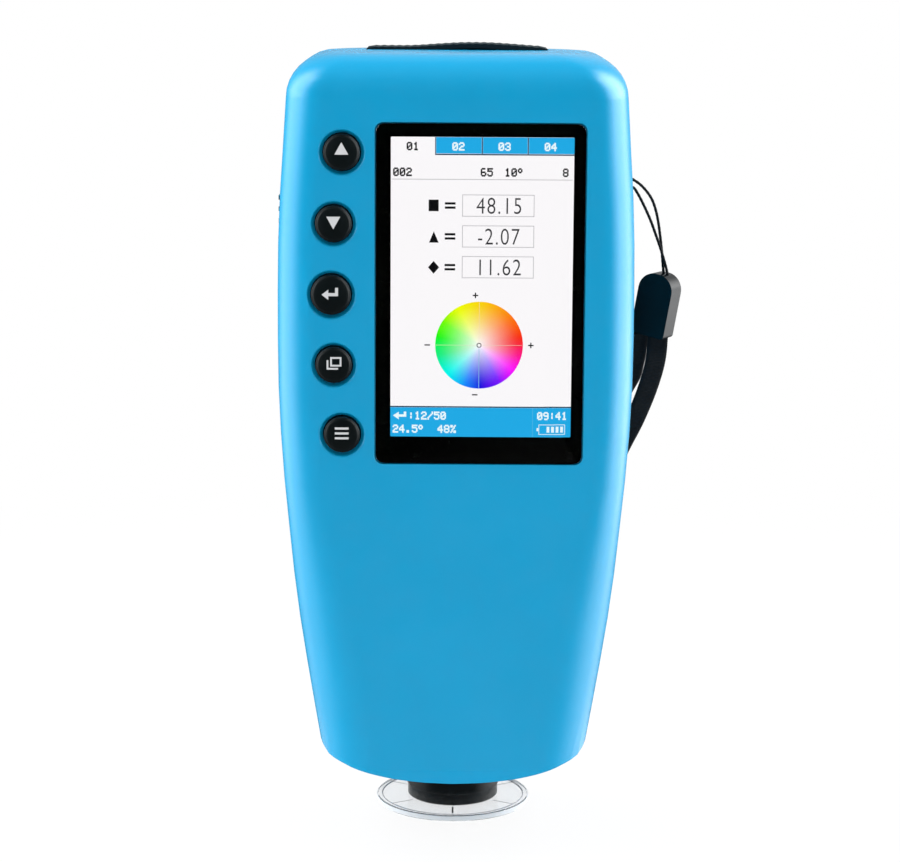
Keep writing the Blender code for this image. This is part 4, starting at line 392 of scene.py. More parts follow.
def make_finishes():
    """Every finish by a short name."""
    return {
        "housing": moulded("housing_blue", HOUSING_BLUE, 0.23, grain=5200.0, grain_depth=0.004 * MM,
                           strength=0.08, contrast=0.02, edge_radius=HOUSING_EDGE),
        "key": moulded("key_black", (0.003, 0.006, 0.007, 1.0), 0.32, grain=9000.0, contrast=0.15,
                       Specular_IOR_Level=0.3),
        "cover": moulded("cover_black", (0.0104, 0.0178, 0.0215, 1.0), 0.6, grain=3600.0,
                         grain_depth=0.03 * MM, strength=0.4, contrast=0.15, Specular_IOR_Level=0.05),
        "nozzle": moulded("nozzle_black", (0.002, 0.004, 0.005, 1.0), 0.24, grain=6000.0, strength=0.12,
                          contrast=0.15, Specular_IOR_Level=0.25),
        "block": moulded("block_gloss", (0.0005, 0.002, 0.003, 1.0), 0.24, grain=2500.0, strength=0.1,
                         contrast=0.15, Specular_IOR_Level=0.16),
        "legend": moulded("key_legend", linear(204, 206, 208), 0.45, grain=9000.0, contrast=0.04),
        "clear_window": clear_plastic("window_clear", (0.99, 0.99, 0.99, 1.0), 0.02),
        "print": moulded("window_print", (0.0015, 0.0026, 0.0019, 1.0), 0.25, grain=4000.0, contrast=0.1,
                         Specular_IOR_Level=0.2),
        "disc": clear_plastic("disc_clear", (0.955, 0.958, 0.962, 1.0), 0.06, 0.92, 1.12),
        "mark": moulded("disc_mark", (0.015, 0.015, 0.016, 1.0), 0.5, contrast=0.2),
        # Painted grey shade round the clear disc's edge
        "edge_shade": moulded("disc_edge_painted_shade", (0.74, 0.745, 0.755, 1.0), 0.45, contrast=0.03),
        # Thin printed marks on the disc, and a dark line of painted shade at the foot of its rim
        "thin_mark_and_rim_shade": moulded("disc_marks_and_painted_rim_shade", (0.16, 0.16, 0.18, 1.0), 0.5, contrast=0.15),
        "white": moulded("sphere_white", (0.88, 0.88, 0.86, 1.0), 0.75, grain=2500.0, grain_depth=0.05 * MM,
                         strength=0.5, contrast=0.02),
        "steel": metal("screw_steel", (0.58, 0.58, 0.57, 1.0), 0.3),
        "sheet": metal("bracket_sheet", (0.55, 0.56, 0.56, 1.0), 0.4, (1, 12, 12)),
        "nickel": metal("contact_nickel", (0.66, 0.63, 0.56, 1.0), 0.25),
        "gold": metal("contact_gold", (0.85, 0.6, 0.22, 1.0), 0.25),
        "board": circuit_board("circuit_board"),
        "rubber": moulded("keypad_rubber", (0.16, 0.165, 0.17, 1.0), 0.8, grain=3000.0, contrast=0.06),
        "sleeve": moulded("battery_sleeve_film", linear(40, 62, 92), 0.28, grain=900.0,
                          grain_depth=0.05 * MM, strength=0.35, contrast=0.12),
        "module": moulded("display_module", (0.32, 0.34, 0.35, 1.0), 0.35, contrast=0.06),
        "black": moulded("inner_black", (0.014, 0.014, 0.015, 1.0), 0.5, contrast=0.15),
        "page": lit("screen_page", linear(254, 252, 254)),
        "bar": lit("screen_bar", linear(34, 172, 232)),
        "bar_line": lit("screen_bar_line", linear(16, 74, 104), 0.8),
        "grey_line": lit("screen_grey_line", linear(206, 204, 208), 0.85),
        "divider": lit("screen_divider_line", linear(78, 188, 240), 1.0),
        "pale_line": lit("screen_pale_line", linear(142, 214, 244), 0.9),
        "ink": lit("screen_ink", linear(22, 22, 26), 0.6),
        "value_ink": lit("screen_value_ink", linear(62, 62, 66), 0.8),
        "wheel_line": lit("screen_wheel_line", linear(252, 236, 214), 0.9),
        "paper_ink": lit("screen_paper_ink", linear(236, 252, 255)),
        "cord": woven("cord_black", (0.006, 0.007, 0.008, 1.0), 3000.0),
        "webbing": woven("webbing_black", (0.004, 0.006, 0.008, 1.0), 1500.0),
    }


# Mesh helpers

def link_mesh(name, bm, material, body, smooth_angle=None):
    """Turn a bmesh into a piece that rides on a body."""
    bmesh.ops.recalc_face_normals(bm, faces=bm.faces)
    mesh = bpy.data.meshes.new(name)
    bm.to_mesh(mesh)
    bm.free()
    mesh.materials.append(material)
    if smooth_angle is not None:
        mesh.shade_smooth()
        mesh.set_sharp_from_angle(angle=math.radians(smooth_angle))
    piece = bpy.data.objects.new(name, mesh)
    bpy.context.scene.collection.objects.link(piece)
    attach(piece, body)
    return piece


def bridge(bm, first, second):
    """Join two rings of vertices by faces. A ring of one vertex is a tip."""
    steps = max(len(first), len(second))
    for step in range(steps):
        following = (step + 1) % steps
        corners = (first[step % len(first)], first[following % len(first)],
                   second[following % len(second)], second[step % len(second)])
        bm.faces.new(list(dict.fromkeys(corners)))


def add_prism(bm, front, back):
    """Add a closed solid between two outlines with the same number of points."""
    front = [bm.verts.new(point) for point in front]
    back = [bm.verts.new(point) for point in back]
    bm.faces.new(front)
    bm.faces.new(list(reversed(back)))
    bridge(bm, back, front)


def add_plate(bm, outline, front_y, back_y):
    """Add a closed flat solid facing -Y from an outline of (x, z) points."""
    add_prism(bm, [(x, front_y, z) for x, z in outline], [(x, back_y, z) for x, z in outline])


def rectangle(x0, x1, z0, z1):
    return ((x0, z0), (x1, z0), (x1, z1), (x0, z1))


def add_block(bm, x0, x1, z0, z1, front_y, back_y):
    add_plate(bm, rectangle(x0, x1, z0, z1), front_y, back_y)


def rounded_outline(x0, x1, z0, z1, corner, steps=8):
    """Outline of an upright rectangle with round corners."""
    points = []
    for cx, cz, start in ((x1 - corner, z1 - corner, 0), (x0 + corner, z1 - corner, 1),
                          (x0 + corner, z0 + corner, 2), (x1 - corner, z0 + corner, 3)):
        for step in range(steps + 1):
            angle = (start + step / steps) * math.pi / 2
            points.append((cx + corner * math.cos(angle), cz + corner * math.sin(angle)))
    return points


def circle(x, z, radius, degrees_apart):
    angles = [math.radians(degrees) for degrees in range(0, 360, degrees_apart)]
    return [(x + radius * math.cos(angle), z + radius * math.sin(angle)) for angle in angles]


def add_ring_plate(bm, outer, inner, front_y, back_y):
    """Add a closed flat frame between two outlines with the same number of points."""
    rings = [[bm.verts.new((x, y, z)) for x, z in outline]
             for outline, y in ((outer, front_y), (inner, front_y), (inner, back_y), (outer, back_y))]
    for first, second in zip(rings, rings[1:] + rings[:1]):
        bridge(bm, first, second)


def bevel(bm, edges, width, segments):
    bmesh.ops.bevel(bm, geom=edges, offset=width, segments=segments, profile=0.5, affect="EDGES")


def rims(bm, back_y=math.inf):
    """The edges that run round a plate's flat faces, in front of back_y."""
    return [edge for edge in bm.edges if abs(edge.verts[0].co.y - edge.verts[1].co.y) < NEAR
            and edge.verts[0].co.y < back_y]


def add_turned(bm, outline, centre, axis_y=False, steps=72):
    """Add a turned solid from its (radius, height) points, which end on the axis or close round it."""
    rings = []
    for radius, height in outline:
        ring = []
        for step in range(1 if radius == 0 else steps):
            angle = 2 * math.pi * step / steps
            across, up = radius * math.cos(angle), radius * math.sin(angle)
            point = (across, -height, up) if axis_y else (across, up, height)
            ring.append(bm.verts.new(Vector(point) + Vector(centre)))
        rings.append(ring)
    pairs = list(zip(rings, rings[1:]))
    if outline[0][0] and outline[-1][0]:
        pairs.append((rings[-1], rings[0]))
    for first, second in pairs:
        bridge(bm, first, second)


def swept(name, points, section, material, body, smooth_angle, side_hint):
    """A tube along points; section(index) gives the ring of (across, up) points at one of them."""
    bm = bmesh.new()
    rings = []
    for index, point in enumerate(points):
        ahead = points[min(index + 1, len(points) - 1)] - points[max(index - 1, 0)]
        along = ahead.normalized()
        side = side_hint - along * side_hint.dot(along)
        side.normalize()
        up = along.cross(side)
        rings.append([bm.verts.new(point + side * a + up * b) for a, b in section(index)])
    for first, second in zip(rings, rings[1:]):
        bridge(bm, first, second)
    bm.faces.new(list(reversed(rings[0])))
    bm.faces.new(rings[-1])
    return link_mesh(name, bm, material, body, smooth_angle)


ROUTE_STEPS = 24


def smooth_route(points, pitch):
    """Evenly spaced points on a smooth curve through the given ones."""
    fine = []
    for index in range(len(points) - 1):
        before, here = points[max(index - 1, 0)], points[index]
        there, after = points[index + 1], points[min(index + 2, len(points) - 1)]
        for step in range(ROUTE_STEPS):
            part = step / ROUTE_STEPS
            fine.append(((2 * here) + (there - before) * part
                         + (2 * before - 5 * here + 4 * there - after) * part ** 2
                         + (3 * here - before - 3 * there + after) * part ** 3) / 2)
    fine.append(points[-1])
    lengths = [0.0]
    for first, second in zip(fine, fine[1:]):
        lengths.append(lengths[-1] + (second - first).length)
    count = max(2, round(lengths[-1] / pitch))
    result, spot = [], 0
    for step in range(count + 1):
        wanted = lengths[-1] * step / count
        while spot < len(fine) - 2 and lengths[spot + 1] < wanted:
            spot += 1
        span = lengths[spot + 1] - lengths[spot]
        result.append(fine[spot].lerp(fine[spot + 1], (wanted - lengths[spot]) / span))
    return result, lengths[-1]


FLAT_FACE_WEIGHT = 70


def smooth_cad(node, angle):
    """Smooth a node's packed facets by modifiers: weld, mark sharp edges, and weigh flat faces most."""
    group = bpy.data.node_groups.get("smooth_facets") or make_smooth_group()
    modifier = node.modifiers.new("smooth_facets", "NODES")
    modifier.node_group = group
    socket = [item for item in group.interface.items_tree if item.name == "Angle"][0]
    modifier[socket.identifier] = math.radians(angle)
    weighted = node.modifiers.new("weighted_normals", "WEIGHTED_NORMAL")
    weighted.mode = "FACE_AREA"
    weighted.weight = FLAT_FACE_WEIGHT
    weighted.keep_sharp = True


def make_smooth_group():
    """Geometry nodes that weld a mesh and shade it smooth except where it folds by more than an angle."""
    group = bpy.data.node_groups.new("smooth_facets", "GeometryNodeTree")
    for name, way, kind in (("Geometry", "INPUT", "NodeSocketGeometry"),
                            ("Angle", "INPUT", "NodeSocketFloat"),
                            ("Geometry", "OUTPUT", "NodeSocketGeometry")):
        group.interface.new_socket(name, in_out=way, socket_type=kind)
    graph = Graph(group)
    start = graph.node("NodeGroupInput").outputs

    def step(kind, mesh, inputs=None, **settings):
        return graph.node(kind, {"Geometry": mesh, **(inputs or {})}, **settings).outputs["Geometry"]

    mesh = step("GeometryNodeRemoveAttribute", start["Geometry"], {"Name": "custom_normal"})
    mesh = step("GeometryNodeMergeByDistance", mesh, {"Distance": CAD_WELD})
    mesh = step("GeometryNodeSetShadeSmooth", mesh, domain="FACE")
    fold = graph.node("GeometryNodeInputMeshEdgeAngle").outputs["Unsigned Angle"]
    sharp = graph.node("FunctionNodeCompare", data_type="FLOAT", operation="GREATER_THAN")
    graph.feed(sharp.inputs["A"], fold)
    graph.feed(sharp.inputs["B"], start["Angle"])
    edges = {"Selection": sharp.outputs["Result"], "Shade Smooth": False}
    mesh = step("GeometryNodeSetShadeSmooth", mesh, edges, domain="EDGE")
    graph.node("NodeGroupOutput", {"Geometry": mesh})
    return group


# Strap

def make_strap(finishes):
    """The block, the cord from it to the pin, and the webbing loop under it."""
    block = make_block(finishes["block"])
    cord = make_cord(finishes["cord"])
    webbing, webbing_points, webbing_length = make_webbing(finishes["webbing"])
    points, length = cord_points()
    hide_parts("strap_cord")
    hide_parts("strap_webbing")


def tucked(route, tuck):
    """The route with both ends run on a little, into the block."""
    first = route[0] + (route[0] - route[1]).normalized() * tuck
    last = route[-1] + (route[-1] - route[-2]).normalized() * tuck
    return [first] + route + [last]


CORD_PITCH = 0.16 * MM
CORD_SIDES = 16
CORD_PLAIT = 1.3 * MM
# Strands each way in the plait, and how deep it is as a share of the radius
CORD_STRANDS = 4
CORD_PLAIT_SHARE = 0.1


def cord_points():
    """Points along the cord, and its length."""
    route = [PIN + Vector(point) * MM for point in CORD_ROUTE_MM]
    return smooth_route(tucked(route, CORD_TUCK), CORD_PITCH)


def make_cord(material):
    """Thin plaited cord: raised diamonds where two turning sets of strands cross."""
    points, length = cord_points()
    pitch = length / (len(points) - 1)

    def section(index):
        ring = []
        phase = 2 * math.pi * index * pitch / CORD_PLAIT
        for step in range(CORD_SIDES):
            angle = 2 * math.pi * step / CORD_SIDES
            plait = max(math.cos(CORD_STRANDS * angle + phase), math.cos(CORD_STRANDS * angle - phase))
            radius = CORD_DIAMETER / 2 * (1 - CORD_PLAIT_SHARE + CORD_PLAIT_SHARE * plait)
            ring.append((radius * math.cos(angle), radius * math.sin(angle)))
        return ring

    return swept("strap_cord_plait", points, section, material, HOUSING, 60, Vector((0, 1, 0)))


BLOCK_CORNER_STEPS = 12


def make_block(material):
    """Strap block: a slab with a round top, leaning with the strap and turned to show its right side."""
    outline = []
    for side, end, corner, quarter in ((1, 1, BLOCK_TOP_CORNER, 0), (-1, 1, BLOCK_TOP_CORNER, 1),
                                       (-1, -1, BLOCK_FOOT_CORNER, 2), (1, -1, BLOCK_FOOT_CORNER, 3)):
        for step in range(BLOCK_CORNER_STEPS + 1):
            angle = (quarter + step / BLOCK_CORNER_STEPS) * math.pi / 2
            outline.append((side * (BLOCK_WIDTH / 2 - corner) + corner * math.cos(angle),
                            end * (BLOCK_HEIGHT / 2 - corner) + corner * math.sin(angle)))
    bm = bmesh.new()
    add_plate(bm, outline, -BLOCK_DEPTH / 2, BLOCK_DEPTH / 2)
    bevel(bm, rims(bm), BLOCK_RIM, segments=5)
    turn = (Matrix.Translation(BLOCK_CENTRE) @ Matrix.Rotation(-BLOCK_TURN, 4, "Z")
            @ Matrix.Rotation(BLOCK_LEAN, 4, "Y"))
    bmesh.ops.transform(bm, matrix=turn, verts=bm.verts)
    piece = link_mesh("strap_block_moulding", bm, material, HOUSING, smooth_angle=40)
    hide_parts("strap_block")
    return piece


WEBBING_RIB = 0.56 * MM
WEBBING_RINGS = 4
# Columns of the webbing across its width, and how far its ribs and its thin edges stand, as shares
WEBBING_COLUMN_SHARES = (-1, -0.8, -0.55, -0.25, 0.0, 0.25, 0.55, 0.8, 1)
WEBBING_SERRATION_SHARE = 0.045
WEBBING_RIB_SHARE = 0.18
WEBBING_EDGE_SHARE = 0.35


def make_webbing(material):
    """Flat woven strap: cross ribs along its length and loops that make its edges serrated."""
    route = [Vector((PIN.x + x * MM, PIN.y + y * MM, BLOCK_FOOT_Z * share))
             for x, y, share in WEBBING_ROUTE_SHARES]
    points, length = smooth_route(tucked(route, WEBBING_TUCK), WEBBING_RIB / WEBBING_RINGS)

    def section(index):
        wave = 0.5 - 0.5 * math.cos(2 * math.pi * index / WEBBING_RINGS)
        half = WEBBING_WIDTH / 2 * (1 - WEBBING_SERRATION_SHARE * (1 - wave))
        ring = []
        for way, rib in ((1, 1 - wave), (-1, wave)):
            rise = WEBBING_THICK / 2 * (1 - WEBBING_RIB_SHARE * rib)
            for share in WEBBING_COLUMN_SHARES:
                thin = WEBBING_EDGE_SHARE if abs(share) == 1 else 1
                ring.append((way * half * share, way * rise * thin))
        return ring

    piece = swept("strap_webbing_weave", points, section, material, HOUSING, 50, Vector((1, 0, 0)))
    return piece, points, length


# Window and screen

WINDOW_CORNER = 2.0 * MM
PANE_THICK = 0.6 * MM
PANE_RIM = 0.22 * MM
PRINT_GAP = 0.01 * MM
LIT_CORNER = 0.25 * MM
# Layers of the screen, from the page forward
LAYER = 0.05 * MM
LAYER_THICK = 0.03 * MM
PAGE, ON_PAGE, FOREMOST = range(3)
FACE_DEPTH = 0.1 * MM


def raised_face(node):
    """Left, right, bottom, top and depth of the foremost face of a node."""
    points = [vertex.co for vertex in NODES[node].data.vertices]
    front = min(point.y for point in points)
    face = [point for point in points if point.y < front + FACE_DEPTH]
    return (min(p.x for p in face), max(p.x for p in face), min(p.z for p in face), max(p.z for p in face),
            front)


LIT_LEFT, LIT_RIGHT, LIT_FOOT, LIT_TOP, LIT_Y = raised_face("lcd_panel")

# Flat shapes of the screen, in the photograph's pixels: left, right, top, bottom
PHOTO_LIT = (390.0, 573.0, 135.0, 437.0)
TABS_AND_BAR = (
    (435.2, 480.6, 135.4, 151.6), (481.8, 526.4, 135.4, 151.6), (527.6, 573.0, 135.4, 151.6),
    (390.0, 573.0, 407.2, 437.0))
DARK_LINES = (
    (434.2, 573.0, 151.9, 153.2), (434.2, 435.1, 135.4, 151.9), (480.7, 481.7, 135.4, 151.9),
    (526.5, 527.5, 135.4, 151.9), (390.0, 573.0, 405.8, 407.1))
BAR_DIVIDER = (534.0, 534.7, 407.2, 437.0)
TOP_RULE = (391.5, 571.5, 176.9, 177.6)
BATTERY_FRAME = (540.6, 567.4, 424.0, 434.4)
BATTERY_LINE = 0.6
BATTERY_NUB = (538.6, 540.4, 427.6, 430.8)
BATTERY_BAR = (548.8, 551.6, 426.2, 432.2)
BATTERY_BARS = 4
BATTERY_PITCH = 4.6
VALUE_FRAME = (461.6, 533.8, 192.2, 214.2)
VALUE_LINE = 0.7
# Measured values, the pitch of their rows, their middle and the foot of the first, in the same pixels
VALUES = ("48.15", "-2.07", "11.62")
VALUE_PITCH = 30.8
VALUE_MIDDLE = 498.0
VALUE_FOOT = 211.3
# Rows of numbers drawn in dots: text, left and top, and a dot's width and height, in the same pixels
TAB_DOT = (1.05, 1.12)
ROW_DOT = (1.05, 1.15)
CLOCK_DOT = (1.0, 1.1)
EQUALS_DOT = (2.1, 2.1)
DARK_NUMBERS = (
    ("01", 406.0, 140.6, TAB_DOT), ("002", 392.6, 166.0, ROW_DOT), ("65", 480.0, 166.0, ROW_DOT),
    ("10o", 504.0, 166.0, ROW_DOT), ("8", 562.0, 166.0, ROW_DOT))
LIGHT_NUMBERS = (
    ("02", 451.5, 140.6, TAB_DOT), ("03", 497.5, 140.6, TAB_DOT), ("04", 543.5, 140.6, TAB_DOT),
    (":12/50", 408.4, 411.6, TAB_DOT), ("24.5o  48%", 392.6, 425.2, TAB_DOT),
    ("09:41", 539.2, 411.4, CLOCK_DOT))
EQUALS_PLACE = (444.3, 195.9)
# How far a dot spills over its edges, and the gap between two numbers, in dots
DOT_SPILL = 0.24
EQUALS_SPILL = 0.04
DOT_GAP = 1.2
# Outlines on the screen, in the same pixels
ARROW = (
    (392.6, 415.6), (398.6, 411.8), (398.6, 414.4), (403.6, 414.4), (403.6, 411.6), (406.2, 411.6),
    (406.2, 416.9), (398.6, 416.9), (398.6, 419.6))
VALUE_SIGNS = (
    ((428.0, 197.5), (438.0, 197.5), (438.0, 209.0), (428.0, 209.0)),
    ((428.5, 240.3), (433.3, 229.0), (438.1, 240.3)),
    ((433.2, 258.7), (438.8, 265.1), (433.2, 271.5), (427.6, 265.1)))
WHEEL_CENTRE = (479.5, 343.5)
WHEEL_RADIUS_PX = 44.3


def lit_x(px):
    return LIT_LEFT + (px - PHOTO_LIT[0]) / (PHOTO_LIT[1] - PHOTO_LIT[0]) * (LIT_RIGHT - LIT_LEFT)


def lit_z(py):
    return LIT_TOP - (py - PHOTO_LIT[2]) / (PHOTO_LIT[3] - PHOTO_LIT[2]) * (LIT_TOP - LIT_FOOT)


def make_window(finishes):
    """The clear pane of the window and the black print behind it, open at the lit area."""
    low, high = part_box("display_window")
    outer = rounded_outline(low.x, high.x, low.z, high.z, WINDOW_CORNER)
    bm = bmesh.new()
    add_plate(bm, outer, low.y, low.y + PANE_THICK)
    bevel(bm, rims(bm, low.y + NEAR), PANE_RIM, segments=3)
    pane = link_mesh("display_window_pane", bm, finishes["clear_window"], HOUSING, smooth_angle=35)
    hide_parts("display_window")
    inner = rounded_outline(LIT_LEFT, LIT_RIGHT, LIT_FOOT, LIT_TOP, LIT_CORNER)
    bm = bmesh.new()
    add_ring_plate(bm, outer, inner, low.y + PANE_THICK + PRINT_GAP, high.y)
    border = link_mesh("display_window_border", bm, finishes["print"], HOUSING, smooth_angle=35)


# Dots of each sign, line by line from its top
GLYPHS = {
    "0": "01110 10001 10011 10101 11001 10001 01110", "1": "00100 01100 00100 00100 00100 00100 01110",
    "2": "01110 10001 00001 00110 01000 10000 11111", "3": "01110 10001 00001 00110 00001 10001 01110",
    "4": "00010 00110 01010 10010 11111 00010 00010", "5": "11111 10000 11110 00001 00001 10001 01110",
    "6": "01110 10000 10000 11110 10001 10001 01110", "7": "11111 00001 00010 00100 01000 01000 01000",
    "8": "01110 10001 10001 01110 10001 10001 01110", "9": "01110 10001 10001 01111 00001 00001 01110",
    ":": "00000 00100 00100 00000 00100 00100 00000", ".": "00000 00000 00000 00000 00000 01100 01100",
    "/": "00001 00001 00010 00100 01000 10000 10000", "o": "01100 10010 10010 01100 00000 00000 00000",
    "%": "11001 11010 00010 00100 01000 01011 10011", " ": "00000 00000 00000 00000 00000 00000 00000",
    "=": "00000 00000 11111 00000 11111 00000 00000", "-": "00000 00000 00000 01110 00000 00000 00000",
}
GLYPH_COLUMNS = 5


def layer_y(level):
    return LIT_Y - LAYER * (level + 1)


def add_layer(bm, outline, level):
    """Add a flat shape of the screen from its (x, z) points."""
    add_plate(bm, outline, layer_y(level), layer_y(level) + LAYER_THICK)


def add_photo_layer(bm, points, level):
    """Add a flat shape of the screen from points in the photograph's pixels."""
    add_layer(bm, [(lit_x(x), lit_z(y)) for x, y in points], level)


def add_photo_block(bm, left, right, top, foot, level):
    add_photo_layer(bm, rectangle(left, right, foot, top), level)


def add_numbers(bm, rows, level, spill=DOT_SPILL):
    """Add rows of numbers drawn in dots, each stretch of dots in a line as one block."""
    for text, px, py, (width, height) in rows:
        for index, sign in enumerate(text):
            start = px + index * (GLYPH_COLUMNS + DOT_GAP) * width
            for line, bits in enumerate(GLYPHS[sign].split()):
                top = py + (line - spill) * height
                foot = py + (line + 1 + spill) * height
                for run in re.finditer("1+", bits):
                    left = start + (run.start() - spill) * width
                    right = start + (run.end() + spill) * width
                    add_photo_block(bm, left, right, top, foot, level)


def screen_piece(name, bm, material):
    link_mesh(name, bm, material, HOUSING)


def frame_blocks(left, right, top, foot, width):
    return [(left, right, top, top + width), (left, right, foot - width, foot),
            (left, left + width, top + width, foot - width),
            (right - width, right, top + width, foot - width)]


def moved(block, across, down):
    left, right, top, foot = block
    return left + across, right + across, top + down, foot + down


def make_screen(finishes):
    """The display's picture: flat shapes and numbers in thin layers before the lit area."""
    battery = frame_blocks(*BATTERY_FRAME, BATTERY_LINE) + [BATTERY_NUB]
    battery += [moved(BATTERY_BAR, BATTERY_PITCH * index, 0) for index in range(BATTERY_BARS)]
    rules = [TOP_RULE]
    for row in range(len(VALUES)):
        rules += frame_blocks(*moved(VALUE_FRAME, 0, VALUE_PITCH * row), VALUE_LINE)
    for name, blocks, level, finish in (
            ("screen_page", (PHOTO_LIT,), PAGE, "page"), ("screen_bars", TABS_AND_BAR, ON_PAGE, "bar"),
            ("screen_dark_lines", DARK_LINES, ON_PAGE, "bar_line"),
            ("screen_battery_sign", battery, FOREMOST, "paper_ink"),
            ("screen_divider", (BAR_DIVIDER,), FOREMOST, "divider"),
            ("screen_rules", rules, ON_PAGE, "grey_line")):
        bm = bmesh.new()
        for block in blocks:
            add_photo_block(bm, *block, level)
        screen_piece(name, bm, finishes[finish])
    make_screen_numbers(finishes)
    make_value_numbers(finishes)
    make_wheel(finishes)


def make_screen_numbers(finishes):
    """Small numbers in dark and light dots, and the signs before the measured values."""
    equals = [("=", EQUALS_PLACE[0], EQUALS_PLACE[1] + VALUE_PITCH * row, EQUALS_DOT)
              for row in range(len(VALUES))]
    for name, rows, spill, shapes, level, finish in (
            ("screen_dark_numbers", DARK_NUMBERS, DOT_SPILL, (), ON_PAGE, "ink"),
            ("screen_light_numbers", LIGHT_NUMBERS, DOT_SPILL, (ARROW,), FOREMOST, "paper_ink"),
            ("screen_signs", equals, EQUALS_SPILL, VALUE_SIGNS, ON_PAGE, "ink")):
        bm = bmesh.new()
        add_numbers(bm, rows, level, spill)
        for shape in shapes:
            add_photo_layer(bm, shape, level)
        screen_piece(name, bm, finishes[finish])


VALUE_SIZE = 5.9 * MM
VALUE_NARROW = 0.8
VALUE_SPACING = 1.12
VALUE_THINNING = 0.045 * MM


def make_value_numbers(finishes):
    """Measured values in a thin upright typeface, as one mesh."""
    bm = bmesh.new()
    for row, text in enumerate(VALUES):
        curve = bpy.data.curves.new("value", "FONT")
        curve.body = text
        curve.size = VALUE_SIZE
        curve.space_character = VALUE_SPACING
        curve.extrude = LAYER_THICK / 2
        curve.offset = -VALUE_THINNING
        holder = bpy.data.objects.new("value", curve)
        bpy.context.scene.collection.objects.link(holder)
        bpy.context.view_layer.update()
        evaluated = holder.evaluated_get(bpy.context.evaluated_depsgraph_get())
        mesh = bpy.data.meshes.new_from_object(evaluated)
        width = max(vertex.co.x for vertex in mesh.vertices) * VALUE_NARROW
        place = Vector((lit_x(VALUE_MIDDLE) - width / 2, layer_y(ON_PAGE) + LAYER_THICK / 2,
                        lit_z(VALUE_FOOT + VALUE_PITCH * row)))
        narrow = Matrix.Diagonal((VALUE_NARROW, 1, 1, 1))
        mesh.transform(Matrix.Translation(place) @ Matrix.Rotation(math.pi / 2, 4, "X") @ narrow)
        bm.from_mesh(mesh)
        bpy.data.objects.remove(holder)
        bpy.data.curves.remove(curve)
        bpy.data.meshes.remove(mesh)
    bmesh.ops.remove_doubles(bm, verts=bm.verts, dist=WELD)
    screen_piece("screen_values", bm, finishes["value_ink"])


WHEEL_LINE = 0.14 * MM
WHEEL_FINE_LINE = 0.07 * MM
# Where the lines start and end, as shares of the wheel's radius
WHEEL_GAP_SHARE = 0.08
WHEEL_REACH_SHARE = 0.985
# Degrees between the points of the wheel's outline and of the ring's
WHEEL_STEP = 4
RING_STEP = 15
RING_OUTER = 0.62 * MM
RING_INNER = 0.42 * MM
# The signs of the axes: half their width, half their line, their distances from the wheel and their shift
AXIS_ARM = 0.7 * MM
AXIS_LINE = 0.16 * MM
AXIS_ABOVE = 1.6 * MM
AXIS_BESIDE = 2.0 * MM
AXIS_SHIFT = 1.0 * MM


def make_wheel(finishes):
    """The colour wheel with its cross, the ring at its middle and the signs of its axes."""
    x, z = lit_x(WHEEL_CENTRE[0]), lit_z(WHEEL_CENTRE[1])
    radius = lit_x(WHEEL_CENTRE[0] + WHEEL_RADIUS_PX) - x
    gap, reach = radius * WHEEL_GAP_SHARE, radius * WHEEL_REACH_SHARE
    bm = bmesh.new()
    add_layer(bm, circle(x, z, radius, WHEEL_STEP), ON_PAGE)
    screen_piece("screen_colour_wheel", bm, wheel_material("screen_wheel", x, z, radius))
    half, fine = WHEEL_LINE / 2, WHEEL_FINE_LINE / 2
    for name, blocks, finish in (
            ("screen_wheel_line", ((x - half, x + half, z - reach, z - gap),), "pale_line"),
            ("screen_wheel_cross", ((x - fine, x + fine, z + gap, z + reach),
                                    (x + gap, x + reach, z - fine, z + fine),
                                    (x - reach, x - gap, z - fine, z + fine)), "wheel_line")):
        bm = bmesh.new()
        for block in blocks:
            add_layer(bm, rectangle(*block), FOREMOST)
        screen_piece(name, bm, finishes[finish])
    bm = bmesh.new()
    front = layer_y(FOREMOST)
    add_ring_plate(bm, circle(x, z, RING_OUTER, RING_STEP), circle(x, z, RING_INNER, RING_STEP), front,
                   front + LAYER_THICK)
    beside, above = radius + AXIS_BESIDE, radius + AXIS_ABOVE
    minus = (-AXIS_ARM, AXIS_ARM, -AXIS_LINE, AXIS_LINE)
    plus = (minus, (-AXIS_LINE, AXIS_LINE, AXIS_LINE, AXIS_ARM),
            (-AXIS_LINE, AXIS_LINE, -AXIS_ARM, -AXIS_LINE))
    for cx, cz, blocks in ((x - AXIS_SHIFT, z + above, plus), (x - AXIS_SHIFT, z - above, (minus,)),
                           (x + beside, z, plus), (x - beside, z, (minus,))):
        for block in blocks:
            add_layer(bm, [(cx + across, cz + up) for across, up in rectangle(*block)], FOREMOST)
    screen_piece("screen_axis_signs", bm, finishes["ink"])


# Keys

KEY_RADIUS = 4.6 * MM
ENTER_RADIUS = 5.05 * MM
KEY_CROWN = 1.15 * MM
KEY_CROWN_POWER = 2.1
KEY_CROWN_STEPS = 8
KEY_LAND = 0.4 * MM
KEY_LAND_HEIGHT = 0.5 * MM
# The round rim of a cap in millimetres: how far in from its edge, how high before the housing's face
KEY_RIM_MM = ((0.36, 0.45), (0.3, 0.44), (0.16, 0.4), (0.07, 0.31), (0.02, 0.15), (0.0, -0.05))
KEY_SKIRT = 2.9 * MM
KEY_FLANGE_BACK = 3.7 * MM
KEY_STEM_RADIUS = 2.0 * MM
# The signs: how far over a cap's middle, and how far before and behind its surface
SIGN_RISE = 0.42 * MM
SIGN_STAND = 0.035 * MM
SIGN_SINK = 0.06 * MM
BODY_FRONT_Y = -35.0 * MM


